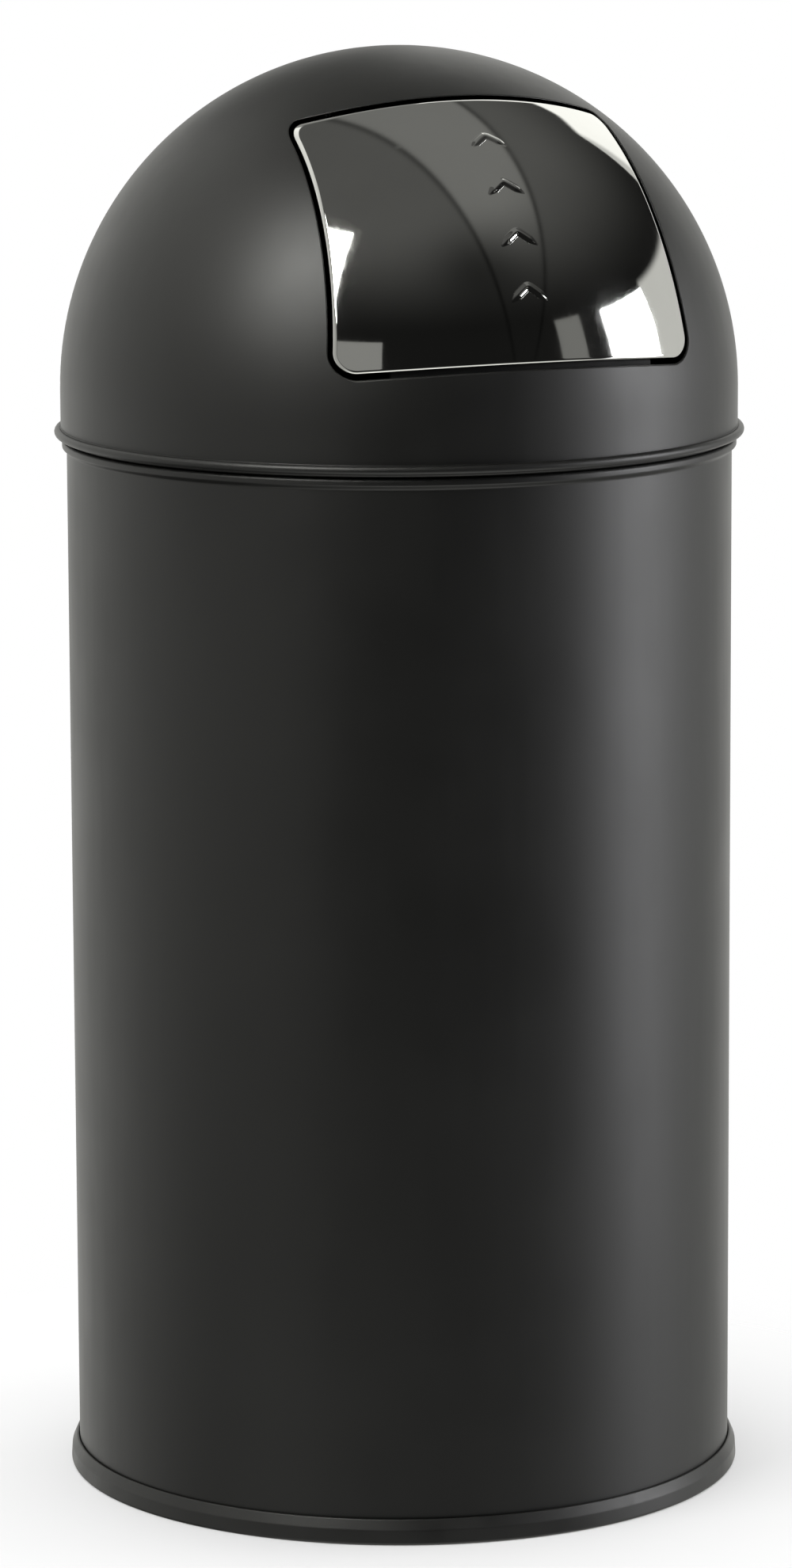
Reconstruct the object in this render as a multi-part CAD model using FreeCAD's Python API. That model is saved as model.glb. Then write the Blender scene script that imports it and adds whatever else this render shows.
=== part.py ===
"""Dome-topped push bin, in millimetres.

A round steel body on a moulded base ring carries a lift-off dome. A mirror-finished flap
hangs in the dome on a sprung hinge rod, and a galvanised bucket with a bail stands inside.

Frame: origin on the floor under the middle of the bin, +Z up, flap facing -Y.
Profiles are lists of (radius, height, corner rounding) corners in the XZ half-plane.
"""

import FreeCAD
import Part
import math
import os

# Driving dimensions of the whole bin
total_height = 740.0
body_radius = 171.0
dome_radius = 174.0
sheet = 0.8
dome_centre_z = total_height - dome_radius
dome_inner_radius = dome_radius - sheet

# Base ring and base plate
ring_outer_radius = 175.4
ring_slope_radius = 174.9
ring_slope_z = 7.8
ring_slope_rounding = 3.0
ring_top_radius = 172.6
ring_top_rounding = 0.7
ring_foot_rounding = 1.5
ring_inner_radius = 163.5
ring_inner_rounding = 1.0
ring_height = 13.0
ring_lip_height = 11.0
ring_lip_wall = 1.7
ring_lip_rounding = 0.5
ring_floor = 3.0
ring_groove_z = 4.0
ring_groove_gap = 0.3
base_plate_z = 16.8
base_dish_height = 6.0
base_dish_radius = 138.0
base_dish_bend = 3.0
base_step_radius = 146.0
base_flange_height = 13.0
base_flange_bend = 2.0

# Body top: rim flared out past the wall, with a hem turned down inside its neck
rim_z = 540.0
rim_radius = 173.4
rim_rounding = 1.8
rim_flare_z = 536.4
rim_flare_rounding = 1.2
rim_foot_z = 534.4
rim_foot_rounding = 1.6
neck_radius = 164.5
neck_hem_z = 528.0
neck_hem_rounding = 1.8
seam_width = 7.0
seam_height = 0.7
seam_end_gap = 6.0

# Dome edge bead and the locating collar inside it
bead_radius = 2.3
bead_centre_radius = 175.0
bead_centre_z = 544.3
bead_bottom_z = bead_centre_z - bead_radius
collar_top_z = 556.0
collar_seat_gap = 0.3
collar_seat_z = rim_z + collar_seat_gap
collar_bottom_z = 526.0
collar_neck_gap = 0.7
collar_radius = neck_radius - collar_neck_gap
collar_bend = 2.0

# Flap outline in the front view, heights above the dome's centre
flap_bottom = 28.0
flap_bottom_corner_drop = 4.5
flap_bottom_half_width = 96.0
flap_top = 151.0
flap_top_corner_drop = 12.4
flap_top_half_width = 84.0
flap_corner_radius = 9.5
flap_gap = 2.4
flap_hem_depth = 3.0
opening_hem_depth = 1.8
front_reach = 200.0

# Flap backing and its stop lip
backing_thickness = 2.0
backing_inset = 1.0
lip_half_width = 70.0
lip_drop = 9.0
lip_joggle = 4.0
lip_inner_radius = 168.4
lip_outer_radius = 170.4

# Hinge: rod place as a reach and an elevation from the dome's centre
hinge_reach = 150.0
hinge_elevation = 65.0
rod_radius = 2.5
rod_half_length = 69.0
ear_inner_x = 46.0
ear_thickness = 3.5
ear_boss_radius = 7.5
ear_elevation = 48.0
ear_root_half_width = 11.0
bush_radius = 4.5
bush_running_gap = 0.08
bush_flange_radius = 6.0
bush_flange = 0.8
bracket_x = 64.0
bracket_thickness = 1.5
bracket_boss_radius = 6.0
bracket_elevation = 83.0
bracket_root_half_width = 10.0
bracket_pad_width = 12.0
bracket_pad_spread = 6.0
clip_x = 66.0
clip_thickness = 1.2
clip_radius = 6.0

# Torsion springs on the rod, between the flap's ears and the brackets
spring_wire_radius = 0.6
spring_coil_radius = 4.8
spring_pitch = 1.8
spring_full_turns = 4
spring_start_x = 61.95
spring_flap_leg_reach = 162.3
spring_flap_leg_elevation = 50.0
spring_dome_leg_reach = 160.5
spring_dome_leg_elevation = 70.5
arcs_per_turn = 8
gap_samples_per_turn = 48

# Rubber stops for the flap, inside the dome under the opening
bumper_x = 55.0
bumper_half_width = 6.0
bumper_height = 6.0
bumper_thickness = 2.5
bumper_drop = 4.2

# Bucket
bucket_sheet = 0.7
bucket_foot_z = 17.1
bucket_foot_radius = 153.3
bucket_mouth_radius = 157.3
rim_wire_radius = 1.5
rim_centre_z = 509.5
rim_curl_radius = rim_wire_radius + bucket_sheet
rim_centre_radius = bucket_mouth_radius + rim_curl_radius
rim_curl_end = -110.0
bucket_base_z = 26.0
bucket_base_radius = 153.1
bucket_base_foot_z = 17.6
bucket_base_bend = 2.5

# Bail, its ears and their rivets
bail_axis_z = 516.5
bail_wire_radius = 2.25
bail_hole_radius = 2.5
bail_arch_radius = 151.0
bail_arch_offset = 8.0
bail_bend_radius = 3.5
bail_tip_rest_z = 514.3
bail_head_radius = 3.4
bail_head_x = 157.8
bail_head_thickness = 1.5
bail_ear_outer_x = 156.5
bail_ear_thickness = 1.5
bail_ear_half_width = 11.0
bail_ear_bottom_z = 480.0
bail_ear_top_z = 523.0
bail_ear_rounding = 6.0
rivet_heights = (487.0, 499.0)
rivet_radius = 2.0
rivet_head_radius = 4.0
rivet_head_height = 1.4
bore_reach = 10.0

X_AXIS = FreeCAD.Vector(1, 0, 0)
Y_AXIS = FreeCAD.Vector(0, 1, 0)
Z_AXIS = FreeCAD.Vector(0, 0, 1)
ORIGIN = FreeCAD.Vector(0, 0, 0)
DOME_CENTRE = FreeCAD.Vector(0, 0, dome_centre_z)


def dome_point(x, reach, elevation):
    """A point at side offset x, at that reach and elevation from the dome's centre, on the flap's side."""
    angle = math.radians(elevation)
    return FreeCAD.Vector(x, -reach * math.cos(angle), dome_centre_z + reach * math.sin(angle))


def line(start, end):
    return Part.LineSegment(start, end).toShape()


def arc(start, middle, end):
    return Part.Arc(start, middle, end).toShape()


def rounded_path(corners):
    """Edges through (radius, height, rounding) corners in the XZ plane, with a tangent arc at each rounding."""
    points = [FreeCAD.Vector(r, 0, z) for r, z, _ in corners]
    edges = []
    start = points[0]
    for index in range(1, len(points) - 1):
        corner = points[index]
        rounding = corners[index][2]
        if rounding == 0:
            edges.append(line(start, corner))
            start = corner
            continue
        back = (points[index - 1] - corner).normalize()
        ahead = (points[index + 1] - corner).normalize()
        half_turn = (math.pi - back.getAngle(ahead)) / 2
        setback = rounding * math.tan(half_turn)
        sagitta = rounding / math.cos(half_turn) - rounding
        arc_start = corner + back * setback
        arc_end = corner + ahead * setback
        arc_middle = corner + (back + ahead).normalize() * sagitta
        edges.append(line(start, arc_start))
        edges.append(arc(arc_start, arc_middle, arc_end))
        start = arc_end
    edges.append(line(start, points[-1]))
    return edges


def right_hand_corners(corners, distance):
    """The same corners moved to the right of the path by distance, with their roundings kept concentric."""
    moved = []
    count = len(corners)
    for index, (r, z, rounding) in enumerate(corners):
        here = (r, z)
        before = corners[max(index - 1, 0)][:2]
        after = corners[min(index + 1, count - 1)][:2]
        headings = []
        for a, b in ((before, here), (here, after)):
            length = math.hypot(b[0] - a[0], b[1] - a[1])
            if length > 0:
                headings.append(((b[0] - a[0]) / length, (b[1] - a[1]) / length))
        first = headings[0]
        last = headings[-1]
        turn = first[0] * last[1] - first[1] * last[0]
        share = distance / (1 + first[0] * last[0] + first[1] * last[1])
        right_r = share * (first[1] + last[1])
        right_z = -share * (first[0] + last[0])
        kept = rounding + math.copysign(distance, turn) if rounding else 0
        moved.append((r + right_r, z + right_z, max(kept, 0)))
    return moved


def closed_face(edges):
    return Part.Face(Part.Wire(Part.__sortEdges__(edges)))


def turned(face):
    """The solid that a profile face sweeps in one turn about the bin's axis."""
    return face.revolve(ORIGIN, Z_AXIS, 360)


def turned_sheet(corners, thickness):
    """Sheet metal of that thickness lying to the right of a profile path, turned about the bin's axis."""
    inner = right_hand_corners(corners, thickness)
    face_side = rounded_path(corners)
    back_side = rounded_path(inner)
    ends = [
        line(FreeCAD.Vector(a[0], 0, a[1]), FreeCAD.Vector(b[0], 0, b[1]))
        for a, b in ((corners[0], inner[0]), (corners[-1], inner[-1]))
    ]
    return turned(closed_face(face_side + back_side + ends))


def ball(radius):
    return Part.makeSphere(radius, DOME_CENTRE)


def skin(outer, inner):
    """The layer between two spheres about the dome's centre."""
    return ball(outer).cut(ball(inner))


def side_plate(points, x, thickness):
    """A flat plate across X with that outline, from x outwards."""
    outline = [FreeCAD.Vector(x, p.y, p.z) for p in points]
    return Part.Face(Part.makePolygon(outline + outline[:1])).extrude(X_AXIS * thickness)


def x_cylinder(radius, centre, x, length):
    return Part.makeCylinder(radius, length, FreeCAD.Vector(x, centre.y, centre.z), X_AXIS)


def mirrored(shape):
    return shape.mirror(ORIGIN, X_AXIS)


def opposite(point):
    """The same point on the other side of the bin's middle plane."""
    return FreeCAD.Vector(-point.x, point.y, point.z)


def front_prism(wire):
    """The space in front of the bin's middle that a front-view outline covers."""
    return Part.Face(wire).extrude(-Y_AXIS * front_reach)


def front_box(x_low, x_high, z_low, z_high):
    size = (x_high - x_low, front_reach, z_high - z_low)
    return Part.makeBox(*size, FreeCAD.Vector(x_low, -front_reach, z_low))


def flap_outline():
    """Front-view outline of the flap: straight tapered sides, arched top and bottom, rounded corners."""
    bottom = dome_centre_z + flap_bottom
    top = dome_centre_z + flap_top
    bottom_corner = FreeCAD.Vector(flap_bottom_half_width, 0, bottom - flap_bottom_corner_drop)
    top_corner = FreeCAD.Vector(flap_top_half_width, 0, top - flap_top_corner_drop)
    bottom_left = opposite(bottom_corner)
    top_left = opposite(top_corner)
    edges = [
        arc(bottom_left, FreeCAD.Vector(0, 0, bottom), bottom_corner),
        line(bottom_corner, top_corner),
        arc(top_corner, FreeCAD.Vector(0, 0, top), top_left),
        line(top_left, bottom_left),
    ]
    block = front_prism(Part.Wire(edges))
    corners = [e for e in block.Edges if abs(e.tangentAt(e.FirstParameter).y) > 0.999]
    rounded = block.makeFillet(flap_corner_radius, corners)
    return next(f for f in rounded.Faces if abs(f.CenterOfMass.y) < 1e-6).OuterWire


FLAP_WIRE = flap_outline()
HINGE = dome_point(0, hinge_reach, hinge_elevation)


def base_ring():
    """Moulded floor ring with a groove that grips the body's lower edge."""
    outside = body_radius + ring_groove_gap
    inside = body_radius - sheet - ring_groove_gap
    lip_inside = inside - ring_lip_wall
    corners = [
        (outside, ring_groove_z, 0),
        (outside, ring_height, ring_lip_rounding),
        (ring_top_radius, ring_height, ring_top_rounding),
        (ring_slope_radius, ring_slope_z, ring_slope_rounding),
        (ring_outer_radius, 0, ring_foot_rounding),
        (ring_inner_radius, 0, ring_inner_rounding),
        (ring_inner_radius, ring_floor, ring_inner_rounding),
        (lip_inside, ring_floor, ring_inner_rounding),
        (lip_inside, ring_lip_height, ring_lip_rounding),
        (inside, ring_lip_height, ring_lip_rounding),
        (inside, ring_groove_z, 0),
        (outside, ring_groove_z, 0),
    ]
    return turned(closed_face(rounded_path(corners)))


def base_plate():
    """Pressed floor pan with a raised middle and a flange up the inside of the body."""
    flange_radius = body_radius - 2 * sheet
    corners = [
        (0, base_plate_z + base_dish_height, 0),
        (base_dish_radius, base_plate_z + base_dish_height, base_dish_bend),
        (base_step_radius, base_plate_z, base_dish_bend),
        (flange_radius, base_plate_z, base_flange_bend),
        (flange_radius, base_plate_z + base_flange_height, 0),
    ]
    return turned_sheet(corners, sheet)


def body_shell():
    """Rolled sheet body with a lap seam at the back, a flared rim and a hem inside the neck."""
    corners = [
        (neck_radius, neck_hem_z, 0),
        (neck_radius, rim_z, neck_hem_rounding),
        (rim_radius, rim_z, rim_rounding),
        (rim_radius, rim_flare_z, rim_flare_rounding),
        (body_radius, rim_foot_z, rim_foot_rounding),
        (body_radius, ring_groove_z, 0),
    ]
    wall = turned_sheet(corners, sheet)
    seam_low = ring_height + seam_end_gap
    seam_top = rim_foot_z - seam_end_gap
    band = Part.makeCylinder(body_radius + seam_height, seam_top - seam_low, Z_AXIS * seam_low)
    band = band.cut(Part.makeCylinder(body_radius - sheet / 2, total_height))
    strip = Part.makeBox(
        seam_width, front_reach, total_height, FreeCAD.Vector(-seam_width / 2, 0, 0)
    )
    return wall.fuse(band.common(strip))


def dome_solid():
    """Everything inside the dome's outer face, with the rolled bead round its lower edge."""
    overlap = bead_centre_radius - dome_radius
    meet_z = bead_centre_z + math.sqrt(bead_radius**2 - overlap**2)
    quarter = math.radians(45)
    crown = FreeCAD.Vector(0, 0, total_height)
    equator = FreeCAD.Vector(dome_radius, 0, dome_centre_z)
    middle = DOME_CENTRE + FreeCAD.Vector(math.cos(quarter), 0, math.sin(quarter)) * dome_radius
    bead_top = FreeCAD.Vector(dome_radius, 0, meet_z)
    bead_side = FreeCAD.Vector(bead_centre_radius + bead_radius, 0, bead_centre_z)
    bead_foot = FreeCAD.Vector(bead_centre_radius, 0, bead_bottom_z)
    foot = FreeCAD.Vector(0, 0, bead_bottom_z)
    return turned(
        closed_face(
            [
                arc(crown, middle, equator),
                line(equator, bead_top),
                arc(bead_top, bead_side, bead_foot),
                line(bead_foot, foot),
                line(foot, crown),
            ]
        )
    )


def dome_shell():
    """Drawn dome with its flap opening, whose edge is turned in as a short hem."""
    opening = front_prism(FLAP_WIRE.makeOffset2D(flap_gap))
    hem = front_prism(FLAP_WIRE.makeOffset2D(flap_gap + sheet))
    hem_layer = hem.cut(ball(dome_radius - opening_hem_depth))
    skirt = Part.makeCylinder(dome_inner_radius, dome_centre_z, ORIGIN)
    core = ball(dome_inner_radius).fuse(skirt).removeSplitter().cut(hem_layer)
    return dome_solid().cut(opening).cut(core)


def lid_collar():
    """Stepped ring welded inside the dome: it seats on the body's rim and reaches into the neck."""
    corners = [
        (dome_inner_radius, collar_top_z, 0),
        (dome_inner_radius, collar_seat_z, collar_bend),
        (collar_radius, collar_seat_z, collar_bend),
        (collar_radius, collar_bottom_z, 0),
    ]
    return turned_sheet(corners, sheet)


def arm_plate(x, thickness, boss_radius, root, root_half_width):
    """A flat arm from a round boss on the hinge line out to a root point near the dome."""
    along = FreeCAD.Vector(0, root.y - HINGE.y, root.z - HINGE.z).normalize()
    across = X_AXIS.cross(along)
    outline = [
        HINGE + across * boss_radius,
        root + across * root_half_width,
        root - across * root_half_width,
        HINGE - across * boss_radius,
    ]
    return side_plate(outline, x, thickness).fuse(x_cylinder(boss_radius, HINGE, x, thickness))


def hinge_bracket():
    """Bracket on the right: a web that holds the rod, and a pad that follows the dome."""
    root = dome_point(0, dome_radius, bracket_elevation)
    web = arm_plate(bracket_x, bracket_thickness, bracket_boss_radius, root, bracket_root_half_width)
    web = web.common(ball(dome_inner_radius))
    low = bracket_elevation - bracket_pad_spread
    high = bracket_elevation + bracket_pad_spread
    wedge = [
        dome_point(0, hinge_reach, low),
        dome_point(0, front_reach, low),
        dome_point(0, front_reach, high),
        dome_point(0, hinge_reach, high),
    ]
    layer = skin(dome_inner_radius, dome_inner_radius - bracket_thickness)
    pad = side_plate(wedge, bracket_x, bracket_pad_width).common(layer)
    hole = x_cylinder(rod_radius, HINGE, 0, front_reach)
    return web.fuse(pad).cut(hole).removeSplitter()


def hinge_rod():
    return x_cylinder(rod_radius, HINGE, -rod_half_length, 2 * rod_half_length)


def rod_clips():
    """Push-on retainers outside the two brackets."""
    ring = x_cylinder(clip_radius, HINGE, clip_x, clip_thickness)
    ring = ring.cut(x_cylinder(rod_radius, HINGE, 0, front_reach))
    return Part.makeCompound([ring, mirrored(ring)])


def tangent_arcs(start, start_heading, end, end_heading):
    """Two arcs that join two points with the given unit headings, tangent to each other in between."""
    chord = end - start
    headings = start_heading + end_heading
    a = 2 * (1 - start_heading.dot(end_heading))
    b = 2 * chord.dot(headings)
    reach = (-b + math.sqrt(b * b + 4 * a * chord.dot(chord))) / (2 * a)
    first_control = start + start_heading * reach
    last_control = end - end_heading * reach
    joint = (first_control + last_control) * 0.5
    return [
        arc(a, rounded_middle(a, control, b), b)
        for a, control, b in ((start, first_control, joint), (joint, last_control, end))
    ]


def rounded_middle(start, control, end):
    """The middle of the arc from start to end whose end tangents meet at control."""
    chord_middle = (start + end) * 0.5
    angle = (control - start).getAngle(end - start)
    return chord_middle + (control - chord_middle) * (math.tan(angle / 2) / math.tan(angle))


def return_spring():
    """Torsion spring on the right: a leg on the dome, a coil round the rod and a leg on the flap."""
    fixed = dome_point(0, spring_dome_leg_reach, spring_dome_leg_elevation) - HINGE
    moving = dome_point(0, spring_flap_leg_reach, spring_flap_leg_elevation) - HINGE
    fixed_leg = math.sqrt(fixed.dot(fixed) - spring_coil_radius**2)
    moving_leg = math.sqrt(moving.dot(moving) - spring_coil_radius**2)
    first = math.atan2(fixed.z, fixed.y) + math.atan2(fixed_leg, spring_coil_radius)
    last = math.atan2(moving.z, moving.y) - math.atan2(moving_leg, spring_coil_radius)
    sweep = (last - first) % (2 * math.pi) + spring_full_turns * 2 * math.pi
    rise = -spring_pitch / (2 * math.pi)
    slope = math.hypot(spring_coil_radius, rise)

    def place(angle):
        x = spring_start_x + rise * (angle - first)
        y = spring_coil_radius * math.cos(angle)
        z = spring_coil_radius * math.sin(angle)
        return HINGE + FreeCAD.Vector(x, y, z)

    def heading(angle):
        y = -spring_coil_radius * math.sin(angle)
        z = spring_coil_radius * math.cos(angle)
        return FreeCAD.Vector(rise, y, z) * (1 / slope)

    steps = round(sweep / (2 * math.pi) * arcs_per_turn / 2)
    angles = [first + sweep * k / steps for k in range(steps + 1)]
    fixed_end = place(first) - heading(first) * fixed_leg
    moving_end = place(angles[-1]) + heading(angles[-1]) * moving_leg
    edges = [line(fixed_end, place(first))]
    for a, b in zip(angles, angles[1:]):
        edges += tangent_arcs(place(a), heading(a), place(b), heading(b))
    edges.append(line(place(angles[-1]), moving_end))
    path = Part.Wire(edges)
    section = Part.Wire(Part.makeCircle(spring_wire_radius, fixed_end, heading(first)))
    tube = path.makePipeShell([section], True, False)

    samples = int(sweep / (2 * math.pi) * gap_samples_per_turn)
    coil = [place(first + sweep * k / samples) for k in range(samples + 1)]
    apart = gap_samples_per_turn // 2
    gap = min((p - q).Length for k, p in enumerate(coil) for q in coil[k + apart:])
    expected = math.pi * spring_wire_radius**2 * path.Length
    print(f"spring least gap {gap - 2 * spring_wire_radius:.2f} mm")
    print(f"spring volume {tube.Volume:.1f} mm3, section times length {expected:.1f} mm3")
    return tube


def stop_bumpers():
    """Rubber pads that the flap's lip closes against."""
    top = dome_centre_z + flap_bottom - flap_gap - bumper_drop
    layer = skin(dome_inner_radius, dome_inner_radius - bumper_thickness)
    column = front_box(bumper_x - bumper_half_width, bumper_x + bumper_half_width, top - bumper_height, top)
    pad = column.common(layer)
    return Part.makeCompound([pad, mirrored(pad)])


def flap_panel():
    """Polished outer skin of the flap, flush with the dome, with its edges turned in."""
    inside = front_prism(FLAP_WIRE.makeOffset2D(-sheet)).common(ball(dome_inner_radius))
    block = front_prism(FLAP_WIRE).common(skin(dome_radius, dome_radius - flap_hem_depth))
    return block.cut(inside)


def flap_backing():
    """Moulded carrier inside the flap, with a stop lip below and two hinge ears above."""
    inner = dome_inner_radius - backing_thickness
    plate = front_prism(FLAP_WIRE.makeOffset2D(-backing_inset)).common(skin(dome_inner_radius, inner))
    foot = dome_centre_z + flap_bottom
    lip_top = foot + backing_inset + lip_joggle
    lip_box = front_box(-lip_half_width, lip_half_width, foot - lip_drop, lip_top)
    joggle_box = front_box(-lip_half_width, lip_half_width, foot + backing_inset, lip_top)
    lip = lip_box.common(skin(lip_outer_radius, lip_inner_radius))
    joggle = joggle_box.common(skin(dome_inner_radius - sheet, lip_inner_radius))
    root = dome_point(0, dome_radius, ear_elevation)
    ear = arm_plate(ear_inner_x, ear_thickness, ear_boss_radius, root, ear_root_half_width)
    ear = ear.common(ball(dome_inner_radius - sheet))
    ear = ear.cut(x_cylinder(bush_radius, HINGE, 0, front_reach))
    return plate.fuse([lip, joggle, ear, mirrored(ear)]).removeSplitter()


def flap_bush():
    """Flanged nylon bush in the right ear, running on the rod."""
    barrel = x_cylinder(bush_radius, HINGE, ear_inner_x, ear_thickness)
    flange = x_cylinder(bush_flange_radius, HINGE, ear_inner_x + ear_thickness, bush_flange)
    bore = x_cylinder(rod_radius + bush_running_gap, HINGE, 0, front_reach)
    return barrel.fuse(flange).cut(bore).removeSplitter()


def rim_point(radius, degrees):
    angle = math.radians(degrees)
    r = rim_centre_radius + radius * math.cos(angle)
    return FreeCAD.Vector(r, 0, rim_centre_z + radius * math.sin(angle))


def rivet_places():
    """Height and side of each ear rivet."""
    return [(z, side) for z in rivet_heights for side in (1, -1)]


def rivet_bore(z, side):
    start = FreeCAD.Vector(side * (bail_ear_outer_x - bore_reach), 0, z)
    return Part.makeCylinder(rivet_radius, 2 * bore_reach, start, X_AXIS * side)


def bucket_wall():
    """Slightly tapered galvanised wall whose top edge curls out over a wire."""
    curl_middle = (180 + rim_curl_end) / 2
    foot = FreeCAD.Vector(bucket_foot_radius, 0, bucket_foot_z)
    edges = [
        line(foot, rim_point(rim_curl_radius, 180)),
        arc(*(rim_point(rim_curl_radius, a) for a in (180, curl_middle, rim_curl_end))),
        line(rim_point(rim_curl_radius, rim_curl_end), rim_point(rim_wire_radius, rim_curl_end)),
        arc(*(rim_point(rim_wire_radius, a) for a in (rim_curl_end, curl_middle, 180))),
        line(rim_point(rim_wire_radius, 180), foot + X_AXIS * bucket_sheet),
        line(foot + X_AXIS * bucket_sheet, foot),
    ]
    return turned(closed_face(edges)).cut([rivet_bore(z, side) for z, side in rivet_places()])


def bucket_rim_wire():
    return Part.makeTorus(rim_centre_radius, rim_wire_radius, Z_AXIS * rim_centre_z)


def bucket_base():
    """Bucket floor pan with its flange turned down inside the wall."""
    corners = [
        (0, bucket_base_z, 0),
        (bucket_base_radius, bucket_base_z, bucket_base_bend),
        (bucket_base_radius, bucket_base_foot_z, 0),
    ]
    return turned_sheet(corners, bucket_sheet)


def bail_ear():
    """Flat lug riveted inside the bucket's wall on the right, with the bail's hole above the rim."""
    inner_x = bail_ear_outer_x - bail_ear_thickness
    height = bail_ear_top_z - bail_ear_bottom_z
    corner = FreeCAD.Vector(inner_x, -bail_ear_half_width, bail_ear_bottom_z)
    plate = Part.makeBox(bail_ear_thickness, 2 * bail_ear_half_width, height, corner)
    upright = [e for e in plate.Edges if abs(e.tangentAt(e.FirstParameter).x) > 0.999]
    plate = plate.makeFillet(bail_ear_rounding, upright)
    hole_start = FreeCAD.Vector(inner_x - bore_reach, 0, bail_axis_z)
    hole = Part.makeCylinder(bail_hole_radius, 2 * bore_reach, hole_start, X_AXIS)
    return plate.cut([hole] + [rivet_bore(z, side) for z, side in rivet_places() if side > 0])


def ear_rivet(z, side):
    """One rivet with a head on the ear's inner face and one on the bucket's outer face."""
    wall_slope = (bucket_mouth_radius - bucket_foot_radius) / (rim_centre_z - bucket_foot_z)
    head_top_z = z + rivet_head_radius
    wall_x = bucket_foot_radius + wall_slope * (head_top_z - bucket_foot_z) + bucket_sheet
    inner_x = bail_ear_outer_x - bail_ear_thickness
    shank_end = wall_x + rivet_head_height
    shank = Part.makeCylinder(rivet_radius, shank_end - inner_x, FreeCAD.Vector(inner_x, 0, z), X_AXIS)
    inner_start = FreeCAD.Vector(inner_x - rivet_head_height, 0, z)
    inner_head = Part.makeCone(rivet_radius, rivet_head_radius, rivet_head_height, inner_start, X_AXIS)
    outer_start = FreeCAD.Vector(wall_x, 0, z)
    outer_head = Part.makeCone(rivet_head_radius, rivet_radius, rivet_head_height, outer_start, X_AXIS)
    rivet = shank.fuse([inner_head, outer_head]).removeSplitter()
    return rivet if side > 0 else mirrored(rivet)


def ear_rivets():
    return Part.makeCompound([ear_rivet(z, side) for z, side in rivet_places()])


def bail_wire():
    """Headed wire bail, folded to the back and dipping on to the bucket's rim."""
    leg_x = bail_arch_radius
    bend_x = bail_arch_radius + bail_bend_radius
    half = math.radians(45)
    bend_middle_x = bend_x - bail_bend_radius * math.sin(half)
    bend_middle_y = bail_bend_radius * (1 - math.cos(half))
    hook_end = FreeCAD.Vector(bail_head_x, 0, bail_axis_z)
    bend_start = FreeCAD.Vector(bend_x, 0, bail_axis_z)
    bend_middle = FreeCAD.Vector(bend_middle_x, bend_middle_y, bail_axis_z)
    bend_end = FreeCAD.Vector(leg_x, bail_bend_radius, bail_axis_z)
    arch_start = FreeCAD.Vector(leg_x, bail_arch_offset, bail_axis_z)
    tip = FreeCAD.Vector(0, bail_arch_offset + bail_arch_radius, bail_axis_z)
    side = [(hook_end, bend_start), (bend_start, bend_middle, bend_end), (bend_end, arch_start)]
    edges = [line(*p) if len(p) == 2 else arc(*p) for p in side]
    edges.append(arc(arch_start, tip, opposite(arch_start)))
    for points in reversed(side):
        ends = [opposite(p) for p in reversed(points)]
        edges.append(line(*ends) if len(ends) == 2 else arc(*ends))
    section = Part.Wire(Part.makeCircle(bail_wire_radius, hook_end, X_AXIS))
    wire = Part.Wire(edges).makePipeShell([section], True, False)
    head = Part.makeCylinder(bail_head_radius, bail_head_thickness, hook_end, X_AXIS)
    bail = wire.fuse([head, mirrored(head)])
    dip = math.degrees(math.asin((bail_axis_z - bail_tip_rest_z) / tip.y))
    bail.rotate(Z_AXIS * bail_axis_z, X_AXIS, -dip)
    print(f"bail dips {dip:.3f} degrees at rest")
    return bail


def build():
    """Every piece by its node name."""
    bracket = hinge_bracket()
    spring = return_spring()
    bush = flap_bush()
    ear = bail_ear()
    return {
        "body_shell": body_shell(),
        "base_plate": base_plate(),
        "base_ring": base_ring(),
        "dome_shell": dome_shell(),
        "lid_collar": lid_collar(),
        "hinge_bracket_right": bracket,
        "hinge_bracket_left": mirrored(bracket),
        "hinge_rod": hinge_rod(),
        "rod_clips": rod_clips(),
        "return_spring_right": spring,
        "return_spring_left": mirrored(spring),
        "stop_bumpers": stop_bumpers(),
        "flap_panel": flap_panel(),
        "flap_backing": flap_backing(),
        "flap_bush_right": bush,
        "flap_bush_left": mirrored(bush),
        "bucket_wall": bucket_wall(),
        "bucket_rim_wire": bucket_rim_wire(),
        "bucket_base": bucket_base(),
        "bail_ear_right": ear,
        "bail_ear_left": mirrored(ear),
        "ear_rivets": ear_rivets(),
        "bail_wire": bail_wire(),
    }


def main():
    os.makedirs("parts", exist_ok=True)
    for name, shape in build().items():
        shape.exportStep(f"parts/{name}.step")
        print(f"{name}: {len(shape.Solids)} solid(s), valid {shape.isValid()}, {shape.Volume / 1000:.2f} cm3")


main()
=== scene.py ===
"""Looks of a dome-topped push bin, in metres.

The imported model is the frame: origin on the floor under the bin's middle, +Z up, flap facing -Y.
Sheet-metal pieces are profiles turned about the bin's axis, the dome and its flap are grids on
one sphere, and wires are round sections carried along a path.
"""
import logging
import math
from collections.abc import Iterator
from dataclasses import dataclass
from enum import Enum
from functools import cache

import bpy
import numpy as np
from mathutils import Matrix, Vector


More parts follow.
